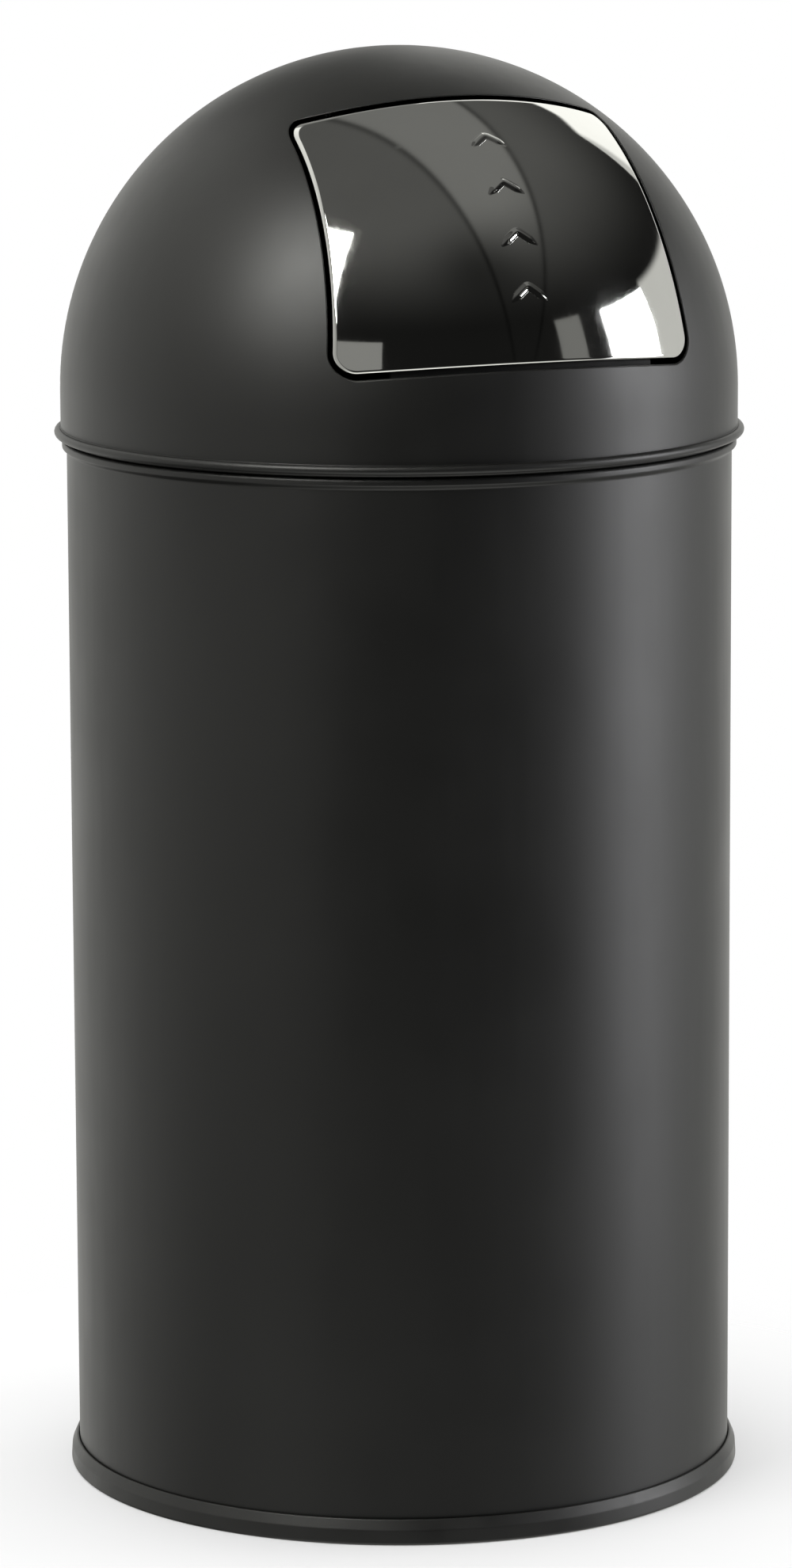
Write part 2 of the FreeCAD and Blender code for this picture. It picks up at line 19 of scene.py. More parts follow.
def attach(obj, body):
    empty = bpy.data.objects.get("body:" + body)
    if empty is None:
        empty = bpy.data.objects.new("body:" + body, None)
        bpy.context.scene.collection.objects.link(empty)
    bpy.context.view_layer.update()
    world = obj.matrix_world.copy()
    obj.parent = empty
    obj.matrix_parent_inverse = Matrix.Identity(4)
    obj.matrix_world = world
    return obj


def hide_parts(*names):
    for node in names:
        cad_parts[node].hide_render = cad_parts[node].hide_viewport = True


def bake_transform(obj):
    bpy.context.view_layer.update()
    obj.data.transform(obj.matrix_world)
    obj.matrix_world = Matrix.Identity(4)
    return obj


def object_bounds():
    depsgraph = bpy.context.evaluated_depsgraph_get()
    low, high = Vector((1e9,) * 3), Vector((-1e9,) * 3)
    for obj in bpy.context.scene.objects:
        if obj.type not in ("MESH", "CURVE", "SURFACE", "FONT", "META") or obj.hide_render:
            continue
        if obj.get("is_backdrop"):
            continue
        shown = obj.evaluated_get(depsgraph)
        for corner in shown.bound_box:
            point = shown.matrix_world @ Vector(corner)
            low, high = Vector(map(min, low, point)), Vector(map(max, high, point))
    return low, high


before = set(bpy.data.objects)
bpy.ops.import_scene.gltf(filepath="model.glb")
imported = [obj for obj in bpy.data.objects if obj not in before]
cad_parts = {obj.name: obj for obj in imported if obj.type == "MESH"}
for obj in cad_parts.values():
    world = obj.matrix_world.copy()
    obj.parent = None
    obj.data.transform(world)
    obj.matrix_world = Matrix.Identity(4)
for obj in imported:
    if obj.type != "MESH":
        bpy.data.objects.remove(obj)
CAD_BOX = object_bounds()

LOG = logging.getLogger("bin")

Array = np.ndarray
Pair = tuple[float, float]
Corner = tuple[float, float, float]
Colour = tuple[float, float, float, float]
Socket = bpy.types.NodeSocket
Piece = bpy.types.Object

# Rounding of a sheet's cut edges, as a share of its thickness
CUT_EASING = 0.4


class Body(Enum):
    """The bin's bodies, each of which moves as one."""

    SHELL = "body"
    LID = "lid"
    FLAP = "flap"
    BUCKET = "bucket"
    BAIL = "bail"


class Slot(Enum):
    """The material slots that a scene may repaint."""

    PAINT = "black_paint"
    RING = "ring_plastic"
    POLISHED = "polished_steel"
    CARRIER = "black_plastic"
    PLATED = "plated_steel"
    SPRING = "spring_steel"
    NYLON = "nylon"
    RUBBER = "rubber"
    GALVANISED = "galvanised"


# Arrays and grids


def unit(vectors: Array) -> Array:
    """Scales vectors along the last axis to length one."""
    return vectors / np.linalg.norm(vectors, axis=-1, keepdims=True)


def eased(low: float, high: float, values: Array) -> Array:
    """Smooth step from 0 at low to 1 at high: 3 t^2 - 2 t^3 of the clamped share t.

    Args:
        low: Value at which the step starts.
        high: Value at which the step ends.
        values: Where to take the step.

    Returns:
        The step at each value.
    """
    share = np.clip((values - low) / (high - low), 0.0, 1.0)
    return share * share * (3.0 - 2.0 * share)


def arc(
    centre: Pair | Array, radius: float, start: float, end: float, count: int, whole: bool = True
) -> Array:
    """Samples a circular arc in a plane: centre + radius (cos a, sin a) for each angle a.

    Args:
        centre: The arc's centre.
        radius: Its radius.
        start: Angle of its first point, in radians.
        end: Angle at which it ends.
        count: Number of points.
        whole: Whether the last point lies at the end, or else one step before it.

    Returns:
        Points of shape (count, 2).
    """
    angle = np.linspace(start, end, count, endpoint=whole)
    return np.array(centre) + radius * np.stack([np.cos(angle), np.sin(angle)], axis=-1)


def full_turn(count: int) -> Array:
    """Angles of a full turn in that many equal steps."""
    return np.arange(count) * (2.0 * math.pi / count)


def rounded_corners(corners: list[Corner], closed: bool, steps: int = 6) -> Array:
    """Samples a path of straight sides whose corners are tangent circular arcs.

    A corner of rounding r that turns by a starts its arc r tan(a / 2) before the corner, and the
    arc's centre lies r to the side of that start.

    Args:
        corners: (radius, height, rounding) of each corner.
        closed: Whether the last corner joins the first; the ends of an open path stay sharp.
        steps: Arc steps at each corner.

    Returns:
        Points of the path, shape (count, 2).
    """
    table = np.array(corners)
    points = table[:, :2]
    before = np.roll(points, 1, axis=0)
    after = np.roll(points, -1, axis=0)
    inner = slice(None) if closed else slice(1, -1)
    heading = unit(points - before)[inner]
    leaving = unit(after - points)[inner]
    rounding = table[inner, 2:]
    cross = heading[:, :1] * leaving[:, 1:] - heading[:, 1:] * leaving[:, :1]
    dot = (heading * leaving).sum(axis=1, keepdims=True)
    turn = np.arctan2(cross, dot)
    side = np.sign(turn)
    start = points[inner] - heading * rounding * np.tan(np.abs(turn) / 2)
    left = np.stack([-heading[:, 1], heading[:, 0]], axis=-1)
    centre = start + left * side * rounding
    angle = turn * np.linspace(0.0, 1.0, steps + 1)
    spoke = (start - centre)[:, None, :]
    turned_spoke = np.stack(
        [
            spoke[..., 0] * np.cos(angle) - spoke[..., 1] * np.sin(angle),
            spoke[..., 0] * np.sin(angle) + spoke[..., 1] * np.cos(angle),
        ],
        axis=-1,
    )
    arcs = (centre[:, None, :] + turned_spoke).reshape(-1, 2)
    return arcs if closed else np.concatenate([points[:1], arcs, points[-1:]])


def right_hand(corners: list[Corner], distance: float, least: float) -> list[Corner]:
    """Moves a path to its right, keeping its arcs concentric.

    Args:
        corners: (radius, height, rounding) of each corner.
        distance: How far to move.
        least: The smallest rounding to keep.

    Returns:
        The corners of the moved path.
    """
    table = np.array(corners)
    headings = unit(np.diff(table[:, :2], axis=0))
    first = np.concatenate([headings[:1], headings])
    last = np.concatenate([headings, headings[-1:]])
    turn = first[:, 0] * last[:, 1] - first[:, 1] * last[:, 0]
    share = distance / (1.0 + (first * last).sum(axis=1))
    both = first + last
    moved = table[:, :2] + share[:, None] * np.stack([both[:, 1], -both[:, 0]], axis=-1)
    rounding = np.maximum(table[:, 2] + np.sign(turn) * distance, least)
    return [tuple(row) for row in np.column_stack([moved, rounding]).tolist()]


def grid_quads(index: Array) -> Array:
    """Quads between the neighbours in a grid of vertex numbers, shape (count, 4)."""
    quads = np.stack([index[:-1, :-1], index[:-1, 1:], index[1:, 1:], index[1:, :-1]], axis=-1)
    return quads.reshape(-1, 4)


@dataclass
class GridSurface:
    """A closed surface sampled on a grid of rows and columns.

    Columns always run round in a loop. Rows run round too, or end in a pole at each end.

    Attributes:
        points: Corner positions, shape (rows, columns, 3).
        poles: The first and last closing points, or None where the rows form a loop.
        normals: Known normals of the same shape, NaN where they are to be measured, or None.
    """

    points: Array
    poles: tuple[Array, Array] | None = None
    normals: Array | None = None

    def faces(self) -> tuple[Array, Array]:
        """Numbers the corners of the faces.

        Returns:
            Corner indices of the grid's quads and of the triangles round its poles.
        """
        rows, columns = self.points.shape[:2]
        index = np.arange(rows * columns).reshape(rows, columns)
        index = np.concatenate([index, index[:, :1]], axis=1)
        if self.poles is None:
            index = np.concatenate([index, index[:1]], axis=0)
        quads = grid_quads(index)
        if self.poles is None:
            return quads, np.empty((0, 3), int)
        first = np.full(columns, rows * columns)
        opening = np.stack([first, index[0, 1:], index[0, :-1]], axis=-1)
        closing = np.stack([first + 1, index[-1, :-1], index[-1, 1:]], axis=-1)
        return quads, np.concatenate([opening, closing])

    def measured_normals(self) -> Array:
        """Measures normals: the cross product of central differences along columns and along rows.

        Returns:
            Unit normals, in the shape of the points.
        """
        around = np.roll(self.points, -1, axis=1) - np.roll(self.points, 1, axis=1)
        if self.poles is None:
            along = np.roll(self.points, -1, axis=0) - np.roll(self.points, 1, axis=0)
        else:
            ends = [np.broadcast_to(pole, self.points[:1].shape) for pole in self.poles]
            longer = np.concatenate([ends[0], self.points, ends[1]])
            along = longer[2:] - longer[:-2]
        return unit(np.cross(around, along))

    def mesh(self, name: str) -> bpy.types.Mesh:
        """Makes the mesh with its faces outwards and its normals smooth.

        Args:
            name: Name of the mesh.

        Returns:
            The new mesh.
        """
        corners = self.points.reshape(-1, 3)
        normals = self.measured_normals()
        if self.poles is not None:
            corners = np.concatenate([corners, np.stack(self.poles)])
        quads, fans = self.faces()
        triangles = np.concatenate([quads[:, [0, 1, 2]], quads[:, [0, 2, 3]], fans])
        a, b, c = (corners[triangles[:, k]] for k in range(3))
        if (a * np.cross(b, c)).sum() < 0.0:
            quads = quads[:, ::-1]
            fans = fans[:, ::-1]
            normals = -normals
        if self.normals is not None:
            normals = np.where(np.isnan(self.normals), normals, self.normals)
        at_corners = normals.reshape(-1, 3)
        if self.poles is not None:
            at_poles = unit(normals[[0, -1]].mean(axis=1))
            at_corners = np.concatenate([at_corners, at_poles])
        mesh = bpy.data.meshes.new(name)
        mesh.from_pydata(corners.tolist(), [], quads.tolist() + fans.tolist(), shade_flat=False)
        mesh.normals_split_custom_set_from_vertices(at_corners.tolist())
        return mesh


def turned(profile: Array, columns: int, solid: bool = False) -> GridSurface:
    """Turns a profile about the bin's axis: (r, z) goes to (r cos a, r sin a, z) for each angle a.

    Args:
        profile: (radius, height) points: a loop, or a line that starts and ends on the axis.
        columns: Number of angles in the turn.
        solid: Whether the profile is such a line, so that its ends become poles.

    Returns:
        The turned surface.
    """
    angle = full_turn(columns)
    radius = profile[:, :1]
    height = np.broadcast_to(profile[:, 1:], (len(profile), columns))
    points = np.stack([radius * np.cos(angle), radius * np.sin(angle), height], axis=-1)
    if solid:
        return GridSurface(points[1:-1], poles=(points[0, 0], points[-1, 0]))
    return GridSurface(points)


def sheet_profile(path: list[Corner], thickness: float, solid: bool = False) -> Array:
    """Profile of a bent sheet that lies to the right of a path, with its cut edges eased.

    Args:
        path: (radius, height, rounding) corners of one face of the sheet.
        thickness: Sheet thickness.
        solid: Whether the path starts on the axis.

    Returns:
        Points of the profile, a loop or a line from axis to axis.
    """
    easing = CUT_EASING * thickness
    there = [(r, z, max(rounding, easing)) for r, z, rounding in path]
    back = right_hand(path, thickness, easing)[::-1]
    return rounded_corners(there + back, closed=not solid)


def wire(path: Array, side: Array, radii: Array, columns: int = 20) -> GridSurface:
    """Carries a round section along a path: p + r (cos a u + sin a v), with u and v square to it.

    Args:
        path: Points along the middle of the wire, shape (count, 3).
        side: A direction near u at each point, shape (count, 3) or (3,).
        radii: Radius of the section at each point.
        columns: Points round the section.

    Returns:
        The wire's surface, closed by a pole at each end.
    """
    ahead = unit(np.gradient(path, axis=0))
    across = np.broadcast_to(side, path.shape)
    u = unit(across - (across * ahead).sum(axis=1, keepdims=True) * ahead)
    v = np.cross(ahead, u)
    angle = full_turn(columns)
    spokes = u[:, None, :] * np.cos(angle)[:, None] + v[:, None, :] * np.sin(angle)[:, None]
    points = path[:, None, :] + radii[:, None, None] * spokes
    return GridSurface(points, poles=(path[0], path[-1]))


def rooted(ridge: Array, across: Array, root: float, tuck: float) -> tuple[Array, Array]:
    """Closes the section of a ridge below the surface that it stands on.

    Args:
        ridge: Heights of the ridge, shape (along, across).
        across: Places across it, from -1 to 1.
        root: Height of the section's underside.
        tuck: Place at which the underside starts and ends.

    Returns:
        Heights and places of the whole section, with three more places each.
    """
    places = np.array([tuck, 0.0, -tuck])
    under = np.full((len(ridge), len(places)), root)
    return np.concatenate([ridge, under], axis=1), np.concatenate([across, places])


def capped(points: Array) -> GridSurface:
    """A surface whose first and last row each close in their own middle."""
    return GridSurface(points, poles=(points[0].mean(axis=0), points[-1].mean(axis=0)))


# Finishes


NOISE_ROUGHNESS = 0.55
SHARES: Pair = (0.0, 1.0)

# Bounds that hold nearly all values of a noise
NOISE_SPREAD: Pair = (0.3, 0.7)


class NodeSheet:
    """A node tree with short calls that place and join its nodes."""

    def __init__(self, tree: bpy.types.NodeTree) -> None:
        """Starts from an empty tree."""
        self.tree = tree
        tree.nodes.clear()

    def add(self, kind: str, inputs: dict | None = None, **settings: object) -> bpy.types.Node:
        """Places a node.

        Args:
            kind: Type name of the node.
            inputs: Values or sockets for its inputs, by name or number.
            **settings: Values for its own properties.

        Returns:
            The new node.
        """
        node = self.tree.nodes.new(kind)
        for key, value in settings.items():
            setattr(node, key, value)
        for key, value in (inputs or {}).items():
            if isinstance(value, Socket):
                self.tree.links.new(value, node.inputs[key])
            else:
                node.inputs[key].default_value = value
        return node

    def noise(self, vector: Socket, scale: Socket, detail: float) -> Socket:
        """Adds a noise texture and gives its value."""
        inputs = {"Vector": vector, "Scale": scale, "Detail": detail, "Roughness": NOISE_ROUGHNESS}
        return self.add("ShaderNodeTexNoise", inputs).outputs["Fac"]

    def remap(self, value: Socket, source: Pair, target: Pair = SHARES) -> Socket:
        """Maps a range of values to another, clamped, and gives the result."""
        bounds = dict(zip(("From Min", "From Max", "To Min", "To Max"), source + target))
        return self.add("ShaderNodeMapRange", {"Value": value} | bounds).outputs["Result"]

    def tint(self, share: Socket, low: Colour, high: Colour) -> Socket:
        """Blends two colours by a share and gives the result."""
        inputs = {"Factor": share, 6: low, 7: high}
        return self.add("ShaderNodeMix", inputs, data_type="RGBA").outputs[2]

    def combine(self, first: Socket | float, second: Socket | float, kind: str = "ADD") -> Socket:
        """Joins two values by a sum or another operation."""
        return self.add("ShaderNodeMath", {0: first, 1: second}, operation=kind).outputs[0]


def new_material(name: str) -> tuple[bpy.types.Material, NodeSheet]:
    """Makes a material.

    Args:
        name: Name of the material.

    Returns:
        The material and the sheet that holds its nodes.
    """
    material = bpy.data.materials.new(name)
    material.use_nodes = True
    return material, NodeSheet(material.node_tree)


def new_group(name: str, values: tuple[str, ...], results: tuple[str, ...]) -> NodeSheet:
    """Starts a node group that takes a vector and some values.

    Args:
        name: Name of the group.
        values: Names of its inputs besides the vector.
        results: Names of its outputs.

    Returns:
        The sheet that holds the group's nodes.
    """
    group = bpy.data.node_groups.new(name, "ShaderNodeTree")
    group.interface.new_socket("Vector", in_out="INPUT", socket_type="NodeSocketVector")
    for side, titles in (("INPUT", values), ("OUTPUT", results)):
        for title in titles:
            group.interface.new_socket(title, in_out=side, socket_type="NodeSocketFloat")
    return NodeSheet(group)


@cache
def grain_group() -> bpy.types.NodeTree:
    """Node group of a fine surface grain, made once.

    Height is a fine noise for bump. Patch is a soft noise some tens of times larger, for slow
    changes of tone and gloss.

    Returns:
        The group.
    """
    sheet = new_group("surface_grain", ("Grain Scale", "Patch Scale"), ("Height", "Patch"))
    given = sheet.add("NodeGroupInput").outputs
    height = sheet.noise(given["Vector"], given["Grain Scale"], detail=2.0)
    patch = sheet.noise(given["Vector"], given["Patch Scale"], detail=3.0)
    sheet.add("NodeGroupOutput", {"Height": height, "Patch": patch})
    return sheet.tree


@cache
def marks_group() -> bpy.types.NodeTree:
    """Node group of handling marks, made once.

    Mask is a cloudy smudge where a slow noise is high, broken up by a finer noise stretched
    upright, as wiping leaves it.

    Returns:
        The group.
    """
    stretch = (14.0, 14.0, 1.2)
    softness = 0.25
    sheet = new_group("handling_marks", ("Scale", "Coverage"), ("Mask",))
    given = sheet.add("NodeGroupInput").outputs
    cloud = sheet.noise(given["Vector"], given["Scale"], detail=4.0)
    stretched = sheet.add("ShaderNodeMapping", {"Vector": given["Vector"], "Scale": stretch})
    wipe = sheet.noise(stretched.outputs["Vector"], given["Scale"], detail=3.0)
    level = sheet.combine(0.5, given["Coverage"], "SUBTRACT")
    over = sheet.combine(sheet.combine(cloud, wipe, "MULTIPLY"), level, "SUBTRACT")
    sheet.add("NodeGroupOutput", {"Mask": sheet.remap(over, (-softness, softness))})
    return sheet.tree


@dataclass(frozen=True)
class Finish:
    """A surface finish whose tone and gloss drift slowly over a fine grain.

    Attributes:
        slot: Material slot it stands for.
        dark: Darker tone of the surface.
        light: Lighter tone of the surface.
        gloss: Lowest and highest roughness of the grain's patches.
        grain: Grain cells per metre.
        patch: Patches per metre.
        relief: Depth of the grain in metres.
        metallic: 1 for bare metal.
        marks: Coverage of handling marks, and the roughness that they add.
        sheen: Level of the surface's own reflection, 0.5 for common paint and plastic.
    """

    slot: Slot
    dark: Colour
    light: Colour
    gloss: Pair
    grain: float
    patch: float
    relief: float
    metallic: float = 0.0
    marks: Pair = (0.3, 0.05)
    sheen: float = 0.5

    def tone(self, sheet: NodeSheet, place: Socket, patch: Socket) -> Socket:
        """Colour of the surface: a blend of its two tones by the patches."""
        return sheet.tint(patch, self.dark, self.light)

    def material(self) -> bpy.types.Material:
        """Makes the finish's material, once.

        Returns:
            The material.
        """
        name = self.slot.value + "_finish"
        if name in bpy.data.materials:
            return bpy.data.materials[name]
        material, sheet = new_material(name)
        place = sheet.add("ShaderNodeTexCoord").outputs["Object"]
        grain_inputs = {"Vector": place, "Grain Scale": self.grain, "Patch Scale": self.patch}
        grain = sheet.add("ShaderNodeGroup", grain_inputs, node_tree=grain_group()).outputs
        coverage, smear = self.marks
        mark_inputs = {"Vector": place, "Scale": self.patch, "Coverage": coverage}
        marks = sheet.add("ShaderNodeGroup", mark_inputs, node_tree=marks_group()).outputs
        patch = sheet.remap(grain["Patch"], NOISE_SPREAD)
        smudge = sheet.combine(marks["Mask"], smear, "MULTIPLY")
        rough = sheet.combine(sheet.remap(patch, SHARES, self.gloss), smudge)
        relief = {"Height": grain["Height"], "Strength": 1.0, "Distance": self.relief}
        bump = sheet.add("ShaderNodeBump", relief)
        shader = sheet.add(
            "ShaderNodeBsdfPrincipled",
            {
                "Base Color": self.tone(sheet, place, patch),
                "Roughness": rough,
                "Metallic": self.metallic,
                "Specular IOR Level": self.sheen,
                "Normal": bump.outputs["Normal"],
            },
        )
        sheet.add("ShaderNodeOutputMaterial", {"Surface": shader.outputs["BSDF"]})
        return material


@dataclass(frozen=True)
class Spangle(Finish):
    """Hot-dip zinc: crystals some millimetres across, each with its own tone.

    Attributes:
        crystals: Crystals per metre.
        clouding: Share of the patches in the tone.
    """

    crystals: float = 95.0
    clouding: float = 0.3

    def tone(self, sheet: NodeSheet, place: Socket, patch: Socket) -> Socket:
        """Colour of the surface: the crystals' tones, softened a little by the patches.

        Args:
            sheet: Sheet that holds the material's nodes.
            place: Where on the piece.
            patch: Share of the lighter tone by the patches.

        Returns:
            The colour.
        """
        cells = sheet.add("ShaderNodeTexVoronoi", {"Vector": place, "Scale": self.crystals})
        parts = sheet.add("ShaderNodeSeparateColor", {"Color": cells.outputs["Color"]})
        cloud = sheet.combine(patch, self.clouding, "MULTIPLY")
        share = sheet.combine(parts.outputs["Red"], cloud)
        return sheet.tint(sheet.remap(share, (0.0, 1.0 + self.clouding)), self.dark, self.light)


def grey(level: float, warmth: float = 0.0) -> Colour:
    """A grey of that level, with blue held back by warmth."""
    return (level, level, level * (1.0 - warmth), 1.0)


PAINT = Finish(
    Slot.PAINT, grey(0.0035, 0.15), grey(0.0050, 0.15),
    gloss=(0.40, 0.45), grain=900.0, patch=9.0, relief=0.000012,
)
RING = Finish(
    Slot.RING, grey(0.0060, 0.12), grey(0.0085, 0.12),
    gloss=(0.40, 0.50), grain=1500.0, patch=30.0, relief=0.00002,
)
POLISHED = Finish(
    Slot.POLISHED, grey(0.70, 0.03), grey(0.74, 0.03),
    gloss=(0.015, 0.03), grain=16.0, patch=22.0, relief=0.00001, metallic=1.0, marks=(0.25, 0.05),
)
CARRIER = Finish(
    Slot.CARRIER, grey(0.006), grey(0.009),
    gloss=(0.55, 0.68), grain=1300.0, patch=35.0, relief=0.00003, sheen=0.15,
)
PLATED = Finish(
    Slot.PLATED, grey(0.52, 0.04), grey(0.66, 0.06),
    gloss=(0.24, 0.36), grain=1800.0, patch=120.0, relief=0.000008, metallic=1.0, marks=(0.3, 0.12),
)
SPRING = Finish(
    Slot.SPRING, grey(0.34, 0.03), grey(0.46, 0.04),
    gloss=(0.22, 0.32), grain=2500.0, patch=160.0, relief=0.000005, metallic=1.0, marks=(0.3, 0.1),
)
NYLON = Finish(
    Slot.NYLON, grey(0.62, 0.12), grey(0.70, 0.10),
    gloss=(0.38, 0.48), grain=1600.0, patch=140.0, relief=0.00001,
)
RUBBER = Finish(
    Slot.RUBBER, grey(0.014), grey(0.026),
    gloss=(0.7, 0.85), grain=1400.0, patch=160.0, relief=0.00004,
)
GALVANISED = Spangle(
    Slot.GALVANISED, grey(0.36, -0.03), grey(0.60, -0.02),
    gloss=(0.30, 0.46), grain=700.0, patch=26.0, relief=0.000015, metallic=1.0, marks=(0.35, 0.12),
)


def in_scene(name: str, data: bpy.types.ID) -> bpy.types.Object:
    """Makes an object from its data and puts it into the scene.

    Args:
        name: Name of the object.
        data: Its mesh, lamp or camera.

    Returns:
        The new object.
    """
    made = bpy.data.objects.new(name, data)
    bpy.context.scene.collection.objects.link(made)
    return made


def made_piece(
    name: str, surface: GridSurface, body: Body | None, finish: Finish, stands_for: tuple[str, ...] = ()
) -> Piece:
    """Makes a piece from a surface, dresses it and joins it to its body.

    Args:
        name: Name of the piece.
        surface: Its shape.
        body: The body that carries it, or None to leave it unjoined.
        finish: Its finish.
        stands_for: Nodes that the piece replaces.

    Returns:
        The new piece.
    """
    made = in_scene(name, surface.mesh(name))
    made.data.materials.append(finish.material())
    if body is not None:
        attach(made, body.value)
    if stands_for:
        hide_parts(*stands_for)
    return made


def dressed_node(name: str, finish: Finish) -> Piece:
    """Gives a node of the frame its finish and keeps its shape.

    Args:
        name: Name of the node.
        finish: Its finish.

    Returns:
        The node.
    """
    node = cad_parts[name]
    for holder in node.material_slots:
        holder.material = finish.material()
    return node


# The bin's outside


@dataclass(frozen=True)
class Shell:
    """The round body: rolled steel wall, moulded floor ring and pressed floor pan."""

    radius: float = 0.171
    sheet: float = 0.0008
    foot: float = 0.004
    rim_top: float = 0.540
    rim_radius: float = 0.1734
    rim_rounding: float = 0.0018
    rim_flare: float = 0.5364
    rim_flare_rounding: float = 0.0012
    rim_foot: float = 0.5344
    rim_foot_rounding: float = 0.0016
    neck_radius: float = 0.1645
    neck_hem: float = 0.528
    neck_rounding: float = 0.0018
    ring_gap: float = 0.0003
    ring_radius: float = 0.1754
    ring_slope_radius: float = 0.1749
    ring_slope_height: float = 0.0078
    ring_top_radius: float = 0.1726
    ring_inner_radius: float = 0.1635
    ring_height: float = 0.013
    ring_lip: float = 0.011
    ring_lip_wall: float = 0.0017
    ring_floor: float = 0.003
    ring_groove_rounding: float = 0.0003
    ring_lip_rounding: float = 0.0005
    ring_top_rounding: float = 0.0007
    ring_slope_rounding: float = 0.003
    ring_foot_rounding: float = 0.0015
    ring_inner_rounding: float = 0.001
    pan_height: float = 0.0168
    pan_dish: float = 0.006
    pan_dish_radius: float = 0.138
    pan_step_radius: float = 0.146
    pan_flange: float = 0.013
    pan_rounding: float = 0.003
    pan_flange_rounding: float = 0.002
    seam_half_width: float = 0.0035
    seam_height: float = 0.0007
    seam_low: float = 0.019
    seam_high: float = 0.5284
    seam_tuck: float = 0.9
    seam_edge_power: int = 8
    seam_end_power: int = 16
    seam_rows: int = 121
    seam_columns: int = 25
    columns: int = 320

    def wall(self) -> GridSurface:
        """The rolled wall with its flared rim and the hem inside its neck.

        Returns:
            The wall's surface.
        """
        path = [
            (self.neck_radius, self.neck_hem, 0.0),
            (self.neck_radius, self.rim_top, self.neck_rounding),
            (self.rim_radius, self.rim_top, self.rim_rounding),
            (self.rim_radius, self.rim_flare, self.rim_flare_rounding),
            (self.radius, self.rim_foot, self.rim_foot_rounding),
            (self.radius, self.foot, 0.0),
        ]
        return turned(sheet_profile(path, self.sheet), self.columns)

    def seam(self) -> GridSurface:
        """The lap seam down the back.

        Across the seam the lap's height is h (1 - s^8) of the share s of its half-width, so that it
        is flat with soft edges. It sinks into the wall at both ends in the same way, with a higher
        power.

        Returns:
            The seam's surface.
        """
        across = np.linspace(-1.0, 1.0, self.seam_columns)
        along = np.linspace(-1.0, 1.0, self.seam_rows)
        crown = np.outer(1.0 - along**self.seam_end_power, 1.0 - across**self.seam_edge_power)
        sunk = self.sheet / 4
        rise, place = rooted(crown * self.seam_height - sunk, across, -2.0 * sunk, self.seam_tuck)
        angle = math.pi / 2 + place * self.seam_half_width / self.radius
        middle = (self.seam_low + self.seam_high) / 2
        height = middle + along * (self.seam_high - self.seam_low) / 2
        reach = self.radius + rise
        level = np.broadcast_to(height[:, None], reach.shape)
        return capped(np.stack([reach * np.cos(angle), reach * np.sin(angle), level], axis=-1))

    def floor_ring(self) -> GridSurface:
        """The moulded ring, with a groove that grips the wall's lower edge.

        Returns:
            The ring's surface.
        """
        outside = self.radius + self.ring_gap
        inside = self.radius - self.sheet - self.ring_gap
        lip = inside - self.ring_lip_wall
        loop = [
            (outside, self.foot, self.ring_groove_rounding),
            (outside, self.ring_height, self.ring_lip_rounding),
            (self.ring_top_radius, self.ring_height, self.ring_top_rounding),
            (self.ring_slope_radius, self.ring_slope_height, self.ring_slope_rounding),
            (self.ring_radius, 0.0, self.ring_foot_rounding),
            (self.ring_inner_radius, 0.0, self.ring_inner_rounding),
            (self.ring_inner_radius, self.ring_floor, self.ring_inner_rounding),
            (lip, self.ring_floor, self.ring_inner_rounding),
            (lip, self.ring_lip, self.ring_lip_rounding),
            (inside, self.ring_lip, self.ring_lip_rounding),
            (inside, self.foot, self.ring_groove_rounding),
        ]
        return turned(rounded_corners(loop, closed=True), self.columns)

    def floor_pan(self) -> GridSurface:
        """The pressed pan with its raised middle and its flange up the wall.

        Returns:
            The pan's surface.
        """
        flange_radius = self.radius - 2 * self.sheet
        raised = self.pan_height + self.pan_dish
        path = [
            (0.0, raised, 0.0),
            (self.pan_dish_radius, raised, self.pan_rounding),
            (self.pan_step_radius, self.pan_height, self.pan_rounding),
            (flange_radius, self.pan_height, self.pan_flange_rounding),
            (flange_radius, self.pan_height + self.pan_flange, 0.0),
        ]
        return turned(sheet_profile(path, self.sheet, solid=True), self.columns // 2, solid=True)

    def build(self) -> Iterator[Piece]:
        """Makes the body's pieces.

        Returns:
            The pieces, one after the other.
        """
        yield made_piece("body_wall", self.wall(), Body.SHELL, PAINT, ("body_shell",))
        yield made_piece("back_seam", self.seam(), Body.SHELL, PAINT)
        yield made_piece("floor_ring", self.floor_ring(), Body.SHELL, RING, ("base_ring",))
        yield made_piece("floor_pan", self.floor_pan(), Body.SHELL, PAINT, ("base_plate",))


